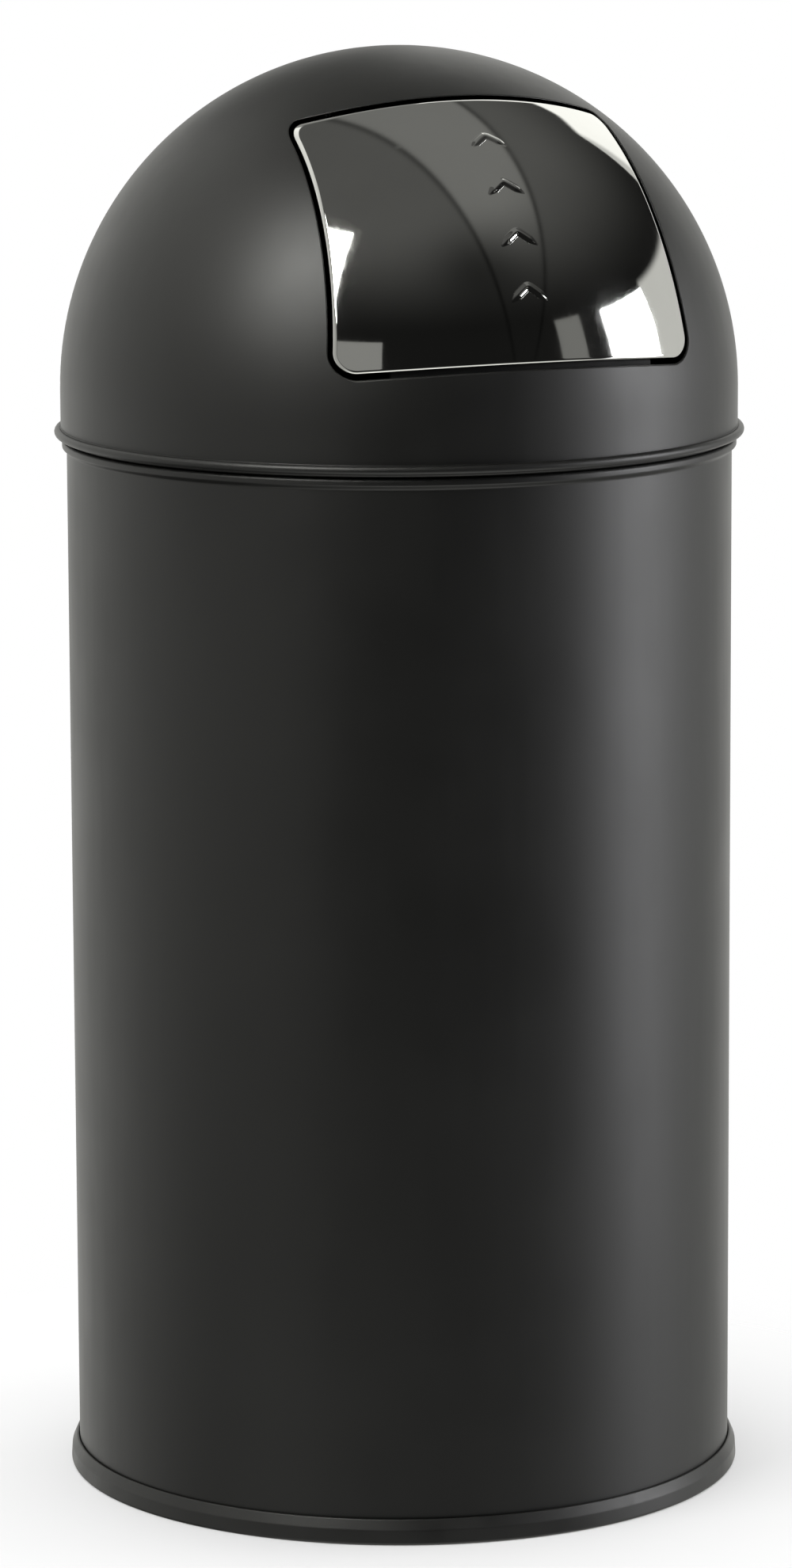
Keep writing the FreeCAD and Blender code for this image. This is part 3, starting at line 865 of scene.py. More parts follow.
@dataclass(frozen=True)
class FlapOutline:
    """Front-view outline of the flap: tapered sides, arched top and bottom, rounded corners.

    Heights are above the dome's centre. Moving the outline outwards keeps its corner centres.
    """

    bottom: float = 0.028
    bottom_drop: float = 0.0045
    bottom_half_width: float = 0.096
    top: float = 0.151
    top_drop: float = 0.0124
    top_half_width: float = 0.084
    corner: float = 0.0095
    edge_points: int = 44
    corner_points: int = 14

    @staticmethod
    def edge_circle(half_width: float, middle: float, drop: float) -> Pair:
        """Centre height and radius of the circle of an arched edge: r = (w^2 + d^2) / 2 d."""
        radius = (half_width**2 + drop**2) / (2 * drop)
        return middle - radius, radius

    def corner_centre(self, circle_z: float, reach: float) -> Array:
        """Centre of a right-hand corner: inside the side line by the corner's radius.

        Args:
            circle_z: Centre height of the arched edge's circle.
            reach: Distance of the corner's centre from there.

        Returns:
            The centre, as a front-view point.
        """
        low = np.array([self.bottom_half_width, self.bottom - self.bottom_drop])
        high = np.array([self.top_half_width, self.top - self.top_drop])
        upward = unit(high - low)
        inward = np.array([-upward[1], upward[0]])
        start = low + inward * self.corner - np.array([0.0, circle_z])
        along = start @ upward
        travel = -along + math.sqrt(along**2 - start @ start + reach**2)
        return low + inward * self.corner + upward * travel

    def points(self, offset: float) -> Array:
        """Samples the outline, moved outwards by offset.

        Args:
            offset: How far outwards, in the front view.

        Returns:
            Front-view points, anticlockwise from the bottom's middle, shape (count, 2).
        """
        low_z, low_radius = self.edge_circle(self.bottom_half_width, self.bottom, self.bottom_drop)
        high_z, high_radius = self.edge_circle(self.top_half_width, self.top, self.top_drop)
        low = self.corner_centre(low_z, low_radius + self.corner)
        high = self.corner_centre(high_z, high_radius - self.corner)
        low_angle = math.atan2(low[1] - low_z, low[0])
        high_angle = math.atan2(high[1] - high_z, high[0])
        lean = (self.bottom_half_width - self.top_half_width) / (
            self.top - self.top_drop - self.bottom + self.bottom_drop
        )
        side_angle = math.atan(lean)
        upright = math.pi / 2
        rounding = self.corner + offset
        edges = self.edge_points
        corners = self.corner_points
        bottom = arc((0.0, low_z), low_radius - offset, upright, low_angle, edges, whole=False)
        low_corner = arc(low, rounding, low_angle - math.pi, side_angle, corners, whole=False)
        outward = np.array([math.cos(side_angle), math.sin(side_angle)]) * rounding
        share = np.linspace(0.0, 1.0, edges, endpoint=False)[:, None]
        side = low + outward + share * (high - low)
        high_corner = arc(high, rounding, side_angle, high_angle, corners, whole=False)
        top = arc((0.0, high_z), high_radius + offset, high_angle, upright, edges, whole=False)
        crown = np.array([[0.0, high_z + high_radius + offset]])
        half = np.concatenate([bottom, low_corner, side, high_corner, top, crown])
        return np.concatenate([half, half[-2:0:-1] * np.array([-1.0, 1.0])])


@dataclass(frozen=True)
class Sphere:
    """The sphere that the dome and the flap share."""

    radius: float = 0.174
    centre_z: float = 0.566

    @staticmethod
    def towards(elevation: float) -> Array:
        """Unit direction from the centre to the flap's middle line, by its elevation in degrees."""
        tilt = math.radians(elevation)
        return np.array([0.0, -math.cos(tilt), math.sin(tilt)])

    def front(self, outline: Array, depth: float | Array = 0.0) -> Array:
        """Places front-view points on the sphere's front, that far below its skin.

        Args:
            outline: (x, height above the centre), shape (..., 2).
            depth: How far below the skin.

        Returns:
            Points about the sphere's centre: y = -sqrt(r^2 - x^2 - z^2).
        """
        x = outline[..., 0]
        z = outline[..., 1]
        y = -np.sqrt((self.radius - depth) ** 2 - x**2 - z**2)
        return np.stack([x, y, z], axis=-1)

    def edge_rows(self, outline: FlapOutline, offsets: list[float], depths: list[float]) -> Array:
        """Places an outline on the sphere's front row by row, moved outwards and sunk.

        Args:
            outline: The outline.
            offsets: How far outwards each row is moved.
            depths: How far below the skin each row lies.

        Returns:
            Points about the sphere's centre, shape (rows, columns, 3).
        """
        moved = np.stack([outline.points(offset) for offset in offsets])
        return self.front(moved, np.array(depths)[:, None])

    def placed(self, points: Array) -> Array:
        """Moves points about the centre to where the dome stands."""
        return points + np.array([0.0, 0.0, self.centre_z])


@dataclass(frozen=True)
class Lid:
    """The lift-off dome, its locating collar and the hinge hardware under it."""

    sphere: Sphere = Sphere()
    outline: FlapOutline = FlapOutline()
    sheet: float = 0.0008
    gap: float = 0.0024
    hem: float = 0.0018
    edge_rounding: float = 0.0009
    bead_radius: float = 0.0023
    bead_centre: Pair = (0.175, 0.5443)
    bead_points: int = 24
    bend_points: int = 7
    flap_elevation: float = 31.0
    skin_rows: int = 60
    lining_rows: int = 24
    collar_top: float = 0.556
    collar_seat: float = 0.5403
    collar_foot: float = 0.526
    collar_radius: float = 0.1638
    collar_bend: float = 0.002
    collar_columns: int = 256

    def swept(self, edge: Array, shares: Array) -> Array:
        """Carries an edge on the front of a sphere along great circles down to its equator.

        With c the direction to the flap's middle and t the heading from c through an edge point,
        the row at angle a is r (cos a c + sin a t), and the equator is where its height is nil.

        Args:
            edge: Points of the edge about the sphere's centre, shape (columns, 3).
            shares: Shares of the way from the edge to the equator.

        Returns:
            Points of shape (shares, columns, 3).
        """
        middle = self.sphere.towards(self.flap_elevation)
        reach = np.linalg.norm(edge, axis=1, keepdims=True)
        direction = edge / reach
        start = np.arccos(direction @ middle)
        heading = unit(direction - (direction @ middle)[:, None] * middle)
        end = np.arctan2(middle[2], -heading[:, 2])
        angle = (start + shares[:, None] * (end - start))[..., None]
        return reach * (np.cos(angle) * middle + np.sin(angle) * heading)

    def hem_rows(self) -> Array:
        """Turned-in edge of the opening, from the lining out to the skin.

        Each row is the outline moved outwards by some offset, at some depth below the skin.

        Returns:
            Points about the sphere's centre, shape (rows, columns, 3).
        """
        easing = self.sheet / 4
        inside = self.gap + self.sheet
        bend = np.linspace(0.0, math.pi / 2, self.bend_points)
        offsets = [inside, inside - easing, self.gap + easing, self.gap]
        depths = [self.hem - easing, self.hem, self.hem, self.hem - easing]
        offsets += (self.gap + self.edge_rounding * (1.0 - np.cos(bend))).tolist()
        depths += (self.edge_rounding * (1.0 - np.sin(bend))).tolist()
        return self.sphere.edge_rows(self.outline, offsets, depths)

    def rim_profile(self) -> Array:
        """Profile of the skirt, the rolled bead, its underside and the inner skirt.

        Returns:
            Radii, and heights about the dome's centre, shape (count, 2).
        """
        radius = self.sphere.radius
        bead_r = self.bead_centre[0]
        bead_z = self.bead_centre[1] - self.sphere.centre_z
        meet = math.acos((radius - bead_r) / self.bead_radius)
        bead = arc((bead_r, bead_z), self.bead_radius, meet, -math.pi / 2, self.bead_points)
        easing = self.sheet / 2
        inner = radius - self.sheet
        underside = bead_z - self.bead_radius
        skirt = [(radius, bead[0, 1] / 2), (radius, bead[0, 1] + easing)]
        under = [(inner + easing, underside), (inner, underside + easing), (inner, underside / 2)]
        return np.concatenate([skirt, bead, under])

    def dome(self) -> GridSurface:
        """The drawn dome: hem, skin, beaded rim and lining as one closed surface.

        Returns:
            The dome's surface.
        """
        hem = self.hem_rows()
        skin = self.swept(hem[-1], np.linspace(0.0, 1.0, self.skin_rows)[1:])
        bearing = unit(skin[-1, :, :2])
        rim = self.rim_profile()
        rim_height = np.broadcast_to(rim[:, 1:, None], (len(rim), bearing.shape[0], 1))
        rim_rows = np.concatenate([rim[:, None, :1] * bearing, rim_height], axis=-1)
        lining_edge = self.sphere.front(self.outline.points(self.gap + self.sheet), self.sheet)
        lining = self.swept(lining_edge, np.linspace(1.0, 0.0, self.lining_rows))
        rows = np.concatenate([hem, skin, rim_rows, lining])
        normals = np.full(rows.shape, np.nan)
        skin_rows = slice(len(hem) - 1, len(hem) + len(skin))
        lining_rows = slice(len(rows) - len(lining), len(rows) - 1)
        normals[skin_rows] = unit(rows[skin_rows])
        normals[lining_rows] = -unit(rows[lining_rows])
        return GridSurface(self.sphere.placed(rows), normals=normals)

    def collar(self) -> GridSurface:
        """The stepped ring that seats on the body's rim and reaches into its neck.

        Returns:
            The collar's surface.
        """
        outer = self.sphere.radius - self.sheet
        path = [
            (outer, self.collar_top, 0.0),
            (outer, self.collar_seat, self.collar_bend),
            (self.collar_radius, self.collar_seat, self.collar_bend),
            (self.collar_radius, self.collar_foot, 0.0),
        ]
        return turned(sheet_profile(path, self.sheet), self.collar_columns)

    def build(self) -> Iterator[Piece]:
        """Makes the dome's pieces and dresses the hardware that it carries.

        Returns:
            The pieces, one after the other.
        """
        yield made_piece("dome_skin", self.dome(), Body.LID, PAINT, ("dome_shell",))
        yield made_piece("locating_collar", self.collar(), Body.LID, PAINT, ("lid_collar",))
        for name in ("hinge_bracket_left", "hinge_bracket_right", "hinge_rod"):
            yield dressed_node(name, PLATED)
        yield dressed_node("rod_clips", SPRING)
        yield dressed_node("stop_bumpers", RUBBER)


@dataclass(frozen=True)
class Flap:
    """The mirror-finished flap, its raised push marks, its carrier and its bushes."""

    sphere: Sphere = Sphere()
    outline: FlapOutline = FlapOutline(bottom_half_width=0.0965, top=0.1518, top_half_width=0.0845)
    sheet: float = 0.0008
    hem: float = 0.003
    side_rounding: float = 0.0017
    top_rounding: float = 0.0007
    bottom_rounding: float = 0.0025
    middle: float = 0.088
    skin_rows: int = 44
    bend_points: int = 9
    mark_elevations: tuple[float, ...] = (50.0, 40.0, 30.5, 21.0)
    mark_half_width: float = 0.0100
    mark_drop: float = 0.0085
    mark_stroke: float = 0.0026
    mark_height: float = 0.0009
    mark_tip: float = 0.01
    mark_taper: float = 0.55
    mark_end_width: float = 0.4
    mark_sink: float = 0.00001
    mark_tuck: float = 0.8
    mark_rows: int = 81
    mark_columns: int = 25

    def panel(self) -> GridSurface:
        """The polished skin: rings out to the bent edge, then the hem and the inner face.

        A ring is the outline shrunk towards the middle, on the sphere. The bend is a quarter
        turn: offset r (sin a - 1), depth r (1 - cos a). Its radius r is that of the sides where
        the edge faces sideways, and blends to the top's and the bottom's by how far the edge
        faces up or down.

        Returns:
            The skin's surface.
        """
        outline = self.outline.points(0.0)
        outward = self.outline.points(1.0) - outline
        facing = outward[:, 1]
        radius = self.side_rounding + (self.top_rounding - self.side_rounding) * facing.clip(0.0)
        radius = radius - (self.bottom_rounding - self.side_rounding) * facing.clip(None, 0.0)
        middle = np.array([0.0, self.middle])
        shares = np.linspace(0.0, 1.0, self.skin_rows + 1)[1:, None, None]
        rim = outline - radius[:, None] * outward
        skin = self.sphere.front(middle + shares * (rim - middle))
        bend = np.linspace(0.0, math.pi / 2, self.bend_points)[1:, None]
        inset = (radius * (np.sin(bend) - 1.0))[..., None]
        bent = self.sphere.front(outline + inset * outward, radius * (1.0 - np.cos(bend)))
        easing = self.sheet / 4
        offsets = [0.0, -easing, easing - self.sheet, -self.sheet, -self.sheet]
        depths = [self.hem - easing, self.hem, self.hem, self.hem - easing, self.sheet + easing]
        hem = self.sphere.edge_rows(self.outline, offsets, depths)
        inner_rim = self.outline.points(-self.sheet - easing)
        back = middle + shares[::-2] * (inner_rim - middle)
        lining = self.sphere.front(back, self.sheet)
        rows = np.concatenate([skin, bent, hem, lining])
        normals = np.full(rows.shape, np.nan)
        normals[: len(skin)] = unit(skin)
        poles = [self.sphere.placed(self.sphere.front(middle, depth)) for depth in (0.0, self.sheet)]
        return GridSurface(self.sphere.placed(rows), poles=tuple(poles), normals=normals)

    def push_mark(self, elevation: float) -> GridSurface:
        """A raised chevron on the flap's middle line.

        Along the chevron, u from -1 to 1, its line is (w u, -d sqrt(u^2 + e)) in the flap's skin.
        Across it the height is h (1 + cos(pi v)) / 2, which leaves the skin without a crease.
        Height and width ease off towards both ends.

        Args:
            elevation: Degrees above the horizontal, seen from the dome's centre.

        Returns:
            The chevron's surface.
        """
        u = np.linspace(-1.0, 1.0, self.mark_rows)
        v = np.linspace(-1.0, 1.0, self.mark_columns)
        fall = self.mark_drop / 2 - self.mark_drop * np.sqrt(u**2 + self.mark_tip)
        line = np.stack([self.mark_half_width * u, fall], axis=-1)
        ahead = unit(np.gradient(line, axis=0))
        square = np.stack([-ahead[:, 1], ahead[:, 0]], axis=-1)
        fading = 1.0 - eased(self.mark_taper, 1.0, np.abs(u))
        width = self.mark_stroke * (self.mark_end_width + (1.0 - self.mark_end_width) * fading)
        ridge = np.outer(fading, (1.0 + np.cos(math.pi * v)) / 2) * self.mark_height
        rise, across = rooted(ridge - self.mark_sink, v, -self.sheet / 2, self.mark_tuck)
        flat = line[:, None, :] + (width[:, None] * across)[..., None] * square[:, None, :]
        facing = self.sphere.towards(elevation)
        upward = np.array([0.0, facing[2], -facing[1]])
        sideways = np.array([1.0, 0.0, 0.0])
        base = facing * self.sphere.radius + flat[..., :1] * sideways + flat[..., 1:] * upward
        points = unit(base) * (self.sphere.radius + rise)[..., None]
        return capped(self.sphere.placed(points))

    def build(self) -> Iterator[Piece]:
        """Makes the flap's pieces and dresses its carrier and bushes.

        Returns:
            The pieces, one after the other.
        """
        yield made_piece("flap_skin", self.panel(), Body.FLAP, POLISHED, ("flap_panel",))
        for number, elevation in enumerate(self.mark_elevations, start=1):
            yield made_piece(f"push_mark_{number}", self.push_mark(elevation), Body.FLAP, POLISHED)
        yield dressed_node("flap_backing", CARRIER)
        for name in ("flap_bush_left", "flap_bush_right"):
            yield dressed_node(name, NYLON)


@dataclass(frozen=True)
class ReturnSpring:
    """One of the two torsion springs on the hinge rod, from the lid's dome to the flap."""

    sphere: Sphere = Sphere()
    hinge: Pair = (0.150, 65.0)
    dome_leg: Pair = (0.1605, 70.5)
    flap_leg: Pair = (0.1623, 50.0)
    wire_radius: float = 0.0006
    coil_radius: float = 0.0048
    pitch: float = 0.0018
    full_turns: int = 4
    start_x: float = 0.06195
    end_share: float = 0.7
    turn_points: int = 36
    leg_points: int = 12
    columns: int = 10

    def place(self, polar: Pair) -> Array:
        """(y, z) of a point by its reach and elevation from the dome's centre, on the flap's side."""
        reach, elevation = polar
        return reach * self.sphere.towards(elevation)[1:]

    def coil(self) -> tuple[Array, Array]:
        """Path of the spring on the right and the spoke at each of its points.

        The coil is a helix about the rod, (x0 - p a / 2 pi, c cos a, c sin a), that leaves
        along its tangent at both ends, where the legs reach the dome and the flap.

        Returns:
            Points and spokes, each of shape (count, 3).
        """
        hinge = self.place(self.hinge)
        fixed = self.place(self.dome_leg) - hinge
        moving = self.place(self.flap_leg) - hinge
        legs = [math.sqrt(leg @ leg - self.coil_radius**2) for leg in (fixed, moving)]
        first = math.atan2(fixed[1], fixed[0]) + math.atan2(legs[0], self.coil_radius)
        last = math.atan2(moving[1], moving[0]) - math.atan2(legs[1], self.coil_radius)
        whole = 2.0 * math.pi
        sweep = (last - first) % whole + self.full_turns * whole
        angle = first + np.linspace(0.0, sweep, self.turn_points * (self.full_turns + 1))
        count = len(angle)
        rise = -self.pitch / whole
        spoke = np.stack([np.zeros(count), np.cos(angle), np.sin(angle)], axis=-1)
        along = self.start_x + rise * (angle - first)
        middle = np.column_stack([along, np.broadcast_to(hinge, (count, 2))])
        helix = middle + self.coil_radius * spoke
        swing = self.coil_radius * np.stack([-np.sin(angle), np.cos(angle)], axis=-1)
        heading = unit(np.column_stack([np.full(count, rise), swing]))
        share = np.linspace(0.0, 1.0, self.leg_points, endpoint=False)[:, None]
        dome_leg = helix[0] - heading[0] * legs[0] * (1.0 - share)
        flap_leg = helix[-1] + heading[-1] * legs[1] * (1.0 - share[::-1])
        path = np.concatenate([dome_leg, helix, flap_leg])
        spokes = np.pad(spoke, ((self.leg_points, self.leg_points), (0, 0)), mode="edge")
        return self.sphere.placed(path), spokes

    def build(self) -> Iterator[Piece]:
        """Makes both springs, which run between the lid and the flap.

        Returns:
            The pieces, one after the other.
        """
        path, spokes = self.coil()
        radii = np.full(len(path), self.wire_radius)
        radii[[0, -1]] *= self.end_share
        for side, sign in (("right", 1.0), ("left", -1.0)):
            flip = np.array([sign, 1.0, 1.0])
            surface = wire(path * flip, spokes * flip, radii, self.columns)
            made = made_piece(f"spring_{side}", surface, None, SPRING, (f"return_spring_{side}",))
            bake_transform(made)
            yield made


# The bucket inside


@dataclass(frozen=True)
class Bucket:
    """The galvanised bucket: tapered wall curled over a rim wire, floor pan, riveted ears."""

    sheet: float = 0.0007
    foot: float = 0.0171
    foot_radius: float = 0.1533
    wire_radius: float = 0.0015
    wire_fit: float = 0.98
    wire_points: int = 24
    rim_centre: Pair = (0.1595, 0.5095)
    curl_end: float = -110.0
    outer_curl_points: int = 40
    inner_curl_points: int = 32
    base_height: float = 0.026
    base_radius: float = 0.1531
    base_foot: float = 0.0176
    base_bend: float = 0.0025
    base_columns: int = 160
    columns: int = 288

    def wall(self) -> GridSurface:
        """The wall: up its inner face, round the curl, back inside the curl and down its outer face.

        Returns:
            The wall's surface.
        """
        end = math.radians(self.curl_end)
        outside_curl = self.wire_radius + self.sheet
        outer_curl = arc(self.rim_centre, outside_curl, math.pi, end, self.outer_curl_points)
        inner_curl = arc(self.rim_centre, self.wire_radius, end, math.pi, self.inner_curl_points)
        easing = self.sheet / 4
        edge = [(self.foot_radius + easing, self.foot), (self.foot_radius, self.foot + easing)]
        inside = np.array(edge)
        outside = inside[::-1] * np.array([-1.0, 1.0])
        outside = outside + np.array([2 * self.foot_radius + self.sheet, 0.0])
        return turned(np.concatenate([inside, outer_curl, inner_curl, outside]), self.columns)

    def rim_wire(self) -> GridSurface:
        """The wire inside the curl.

        Returns:
            The wire's surface.
        """
        radius = self.wire_radius * self.wire_fit
        loop = arc(self.rim_centre, radius, 0.0, 2.0 * math.pi, self.wire_points, whole=False)
        return turned(loop, self.columns)

    def base(self) -> GridSurface:
        """The floor pan with its flange turned down inside the wall.

        Returns:
            The pan's surface.
        """
        path = [
            (0.0, self.base_height, 0.0),
            (self.base_radius, self.base_height, self.base_bend),
            (self.base_radius, self.base_foot, 0.0),
        ]
        return turned(sheet_profile(path, self.sheet, solid=True), self.base_columns, solid=True)

    def build(self) -> Iterator[Piece]:
        """Makes the bucket's pieces and dresses its ears and rivets.

        Returns:
            The pieces, one after the other.
        """
        yield made_piece("bucket_side", self.wall(), Body.BUCKET, GALVANISED, ("bucket_wall",))
        yield made_piece("rim_wire", self.rim_wire(), Body.BUCKET, PLATED, ("bucket_rim_wire",))
        yield made_piece("bucket_floor", self.base(), Body.BUCKET, GALVANISED, ("bucket_base",))
        for name in ("bail_ear_left", "bail_ear_right"):
            yield dressed_node(name, GALVANISED)
        yield dressed_node("ear_rivets", PLATED)


@dataclass(frozen=True)
class Bail:
    """The headed wire bail, folded to the back and dipping on to the bucket's rim."""

    axis_z: float = 0.5165
    tip_z: float = 0.5143
    wire_radius: float = 0.00225
    arch_radius: float = 0.151
    arch_offset: float = 0.008
    bend_radius: float = 0.0035
    head_radius: float = 0.0034
    head_x: float = 0.1578
    head_thickness: float = 0.0015
    bend_points: int = 9
    arch_points: int = 65

    def handle(self) -> GridSurface:
        """The bail as one wire: head, hook, bend and leg on each side, and a half-circle arch.

        Returns:
            The bail's surface.
        """
        easing = self.head_thickness / 6
        outer = self.head_x + self.head_thickness
        hook_x = self.arch_radius + self.bend_radius
        head_xs = [outer, outer - easing, self.head_x + easing, self.head_x]
        narrow = self.head_radius - easing
        head_radii = [narrow, self.head_radius, self.head_radius, narrow]
        hook = np.array([[x, 0.0] for x in head_xs + [self.head_x - easing, hook_x]])
        quarter = math.pi / 2
        corner = (hook_x, self.bend_radius)
        bend = arc(corner, self.bend_radius, -quarter, -math.pi, self.bend_points)[1:]
        arch = arc((0.0, self.arch_offset), self.arch_radius, 0.0, quarter, self.arch_points)
        half = np.concatenate([hook, bend, arch])
        whole = np.concatenate([half, half[-2::-1] * np.array([-1.0, 1.0])])
        half_radii = np.full(len(half), self.wire_radius)
        half_radii[: len(head_radii)] = head_radii
        radii = np.concatenate([half_radii, half_radii[-2::-1]])
        dip = math.asin((self.axis_z - self.tip_z) / (self.arch_offset + self.arch_radius))
        path = np.stack(
            [
                whole[:, 0],
                whole[:, 1] * math.cos(dip),
                self.axis_z - whole[:, 1] * math.sin(dip),
            ],
            axis=-1,
        )
        return wire(path, np.array([0.0, math.sin(dip), math.cos(dip)]), radii)

    def build(self) -> Iterator[Piece]:
        """Makes the bail."""
        yield made_piece("bail_handle", self.handle(), Body.BAIL, PLATED, ("bail_wire",))


# The studio


WARM = grey(1.0, 0.045)
COOL = (0.98, 0.98, 1.0, 1.0)


@dataclass(frozen=True)
class Step:
    """A smooth step by an angle in degrees.

    Attributes:
        low: Angle at which it starts.
        high: Angle at which it is full.
        rise: What it then adds.
    """

    low: float
    high: float
    rise: float = 1.0

    def at(self, angle: Array) -> Array:
        """What the step adds at each angle."""
        return self.rise * eased(self.low, self.high, angle)


def stepped(steps: tuple[Step, ...], angle: Array) -> Array:
    """What some steps add together at each angle."""
    return sum(step.at(angle) for step in steps)


@dataclass(frozen=True)
class PaleWall:
    """A pale wall at one side of the room.

    Attributes:
        glow: Steps of its brightness, by the angle to its side.
        top: Height of its top, in degrees above the horizontal.
        top_steps: Steps of that height, by the angle to its side.
        blur: Half the height over which its top fades, in degrees.
    """

    glow: tuple[Step, ...]
    top: float
    top_steps: tuple[Step, ...]
    blur: float

    def brightness(self, sideways: Array, elevation: Array) -> Array:
        """Brightness of the wall, by angles to its side and above the horizontal."""
        above = elevation - self.top - stepped(self.top_steps, sideways)
        return stepped(self.glow, sideways) * (1.0 - eased(-self.blur, self.blur, above))


@dataclass(frozen=True)
class Room:
    """The room that the bin reflects.

    It is pale on the left, behind and on the far right, dark round the camera, and has a pale
    floor in front and a dim ceiling. Angles are in degrees, to the right of the line to the camera
    and above the horizontal. Steps of the left side go by the angle to the left, and those of the
    floor by the angle below the horizontal. A brightness of 1 is white.
    """

    left: PaleWall = PaleWall(
        glow=(Step(20.0, 36.0, 0.4), Step(55.0, 110.0, 0.5), Step(112.0, 140.0, 0.25)),
        top=26.0,
        top_steps=(Step(58.0, 70.0, 34.0), Step(138.0, 150.0, -34.0)),
        blur=4.0,
    )
    left_foot: Step = Step(-40.0, -25.0)
    left_foot_end: Step = Step(140.0, 150.0)
    right: PaleWall = PaleWall(
        glow=(Step(96.0, 98.0, 0.65), Step(141.0, 144.0, 0.6)),
        top=25.0,
        top_steps=(Step(136.0, 142.0, 15.0), Step(148.0, 158.0, 8.0)),
        blur=1.0,
    )
    floor: tuple[Step, ...] = (Step(24.0, 38.0, 0.85), Step(45.0, 60.0, 0.7))
    floor_start: Step = Step(-75.0, -45.0)
    floor_end: Step = Step(75.0, 104.0)
    back_left: Step = Step(110.0, 150.0, 0.27)
    back_right: Step = Step(160.0, 175.0, 0.27)
    back_top: Step = Step(45.0, 62.0)
    ceiling_foot: float = 1.0
    ceiling_least: float = 0.01
    ceiling_rise: Step = Step(25.0, 62.0, 0.09)
    strip_slope: float = 0.79
    strip_width: float = 0.46
    strip_blur: float = 0.02
    strip_rise: Step = Step(38.0, 66.0, 0.9)
    seam_width: float = 0.018
    seam_depth: float = 0.6
    shade_middle: Pair = (33.0, 44.0)
    shade_size: Pair = (20.0, 13.0)
    shade_depth: float = 0.6

    def ceiling(self, azimuth: Array, elevation: Array) -> Array:
        """Brightness of the ceiling.

        On its plane, whose coordinates are (cos a, sin a) / tan e, a lighter strip runs between
        two straight dark seams. A soft round shade darkens it on the right.

        Args:
            azimuth: Angles to the right.
            elevation: Angles above the horizontal.

        Returns:
            Brightness at each pair of angles.
        """
        rise = np.tan(np.radians(np.maximum(elevation, self.ceiling_foot)))
        along = np.cos(np.radians(azimuth)) / rise
        aside = np.sin(np.radians(azimuth)) / rise
        strip = (aside - self.strip_slope * along) / math.hypot(1.0, self.strip_slope)
        rest = self.strip_width - strip
        blur = self.strip_blur
        inside = eased(-blur, blur, strip) * eased(-blur, blur, rest)
        nearest = np.minimum(np.abs(strip), np.abs(rest))
        seam = np.exp(-((nearest / self.seam_width) ** 2))
        glow = self.ceiling_least + self.ceiling_rise.at(elevation)
        glow = glow * (1.0 + inside * self.strip_rise.at(elevation)) * (1.0 - self.seam_depth * seam)
        sideways = (azimuth - self.shade_middle[0]) / self.shade_size[0]
        upwards = (elevation - self.shade_middle[1]) / self.shade_size[1]
        return glow * (1.0 - self.shade_depth * np.exp(-(sideways**2) - upwards**2))

    def brightness(self, azimuth: Array, elevation: Array) -> Array:
        """Brightness of the whole room: its walls and floor, or its back, and its ceiling.

        Args:
            azimuth: Angles to the right.
            elevation: Angles above the horizontal.

        Returns:
            Brightness at each pair of angles.
        """
        foot = np.maximum(self.left_foot.at(elevation), self.left_foot_end.at(-azimuth))
        left = self.left.brightness(-azimuth, elevation) * foot
        right = self.right.brightness(azimuth, elevation)
        in_front = self.floor_start.at(azimuth) * (1.0 - self.floor_end.at(azimuth))
        floor = stepped(self.floor, -elevation) * in_front
        back = self.back_left.at(-azimuth) + self.back_right.at(azimuth)
        back = back * (1.0 - self.back_top.at(elevation))
        return np.maximum(left + right + floor, back) + self.ceiling(azimuth, elevation)


@dataclass(frozen=True)
class SoftPanel:
    """A glowing panel that only reflections show.

    Attributes:
        name: Name of the panel.
        azimuth: Bounds in degrees, to the right of the line to the camera.
        elevation: Bounds in degrees above the horizontal.
        glow: Brightness at its lower and at its upper edge, where 1 is white.
        tint: Colour of its light.
    """

    name: str
    azimuth: Pair
    elevation: Pair
    glow: Pair
    tint: Colour


@dataclass(frozen=True)
class SoftLamp:
    """A square soft lamp that faces the bin and that reflections do not show.

    Attributes:
        name: Name of the lamp.
        azimuth: Degrees to the right of the line to the camera.
        elevation: Degrees above the horizontal.
        reach: Distance from the surround's middle.
        size: Side of the lamp.
        power: Power in watts.
    """

    name: str
    azimuth: float
    elevation: float
    reach: float
    size: float
    power: float


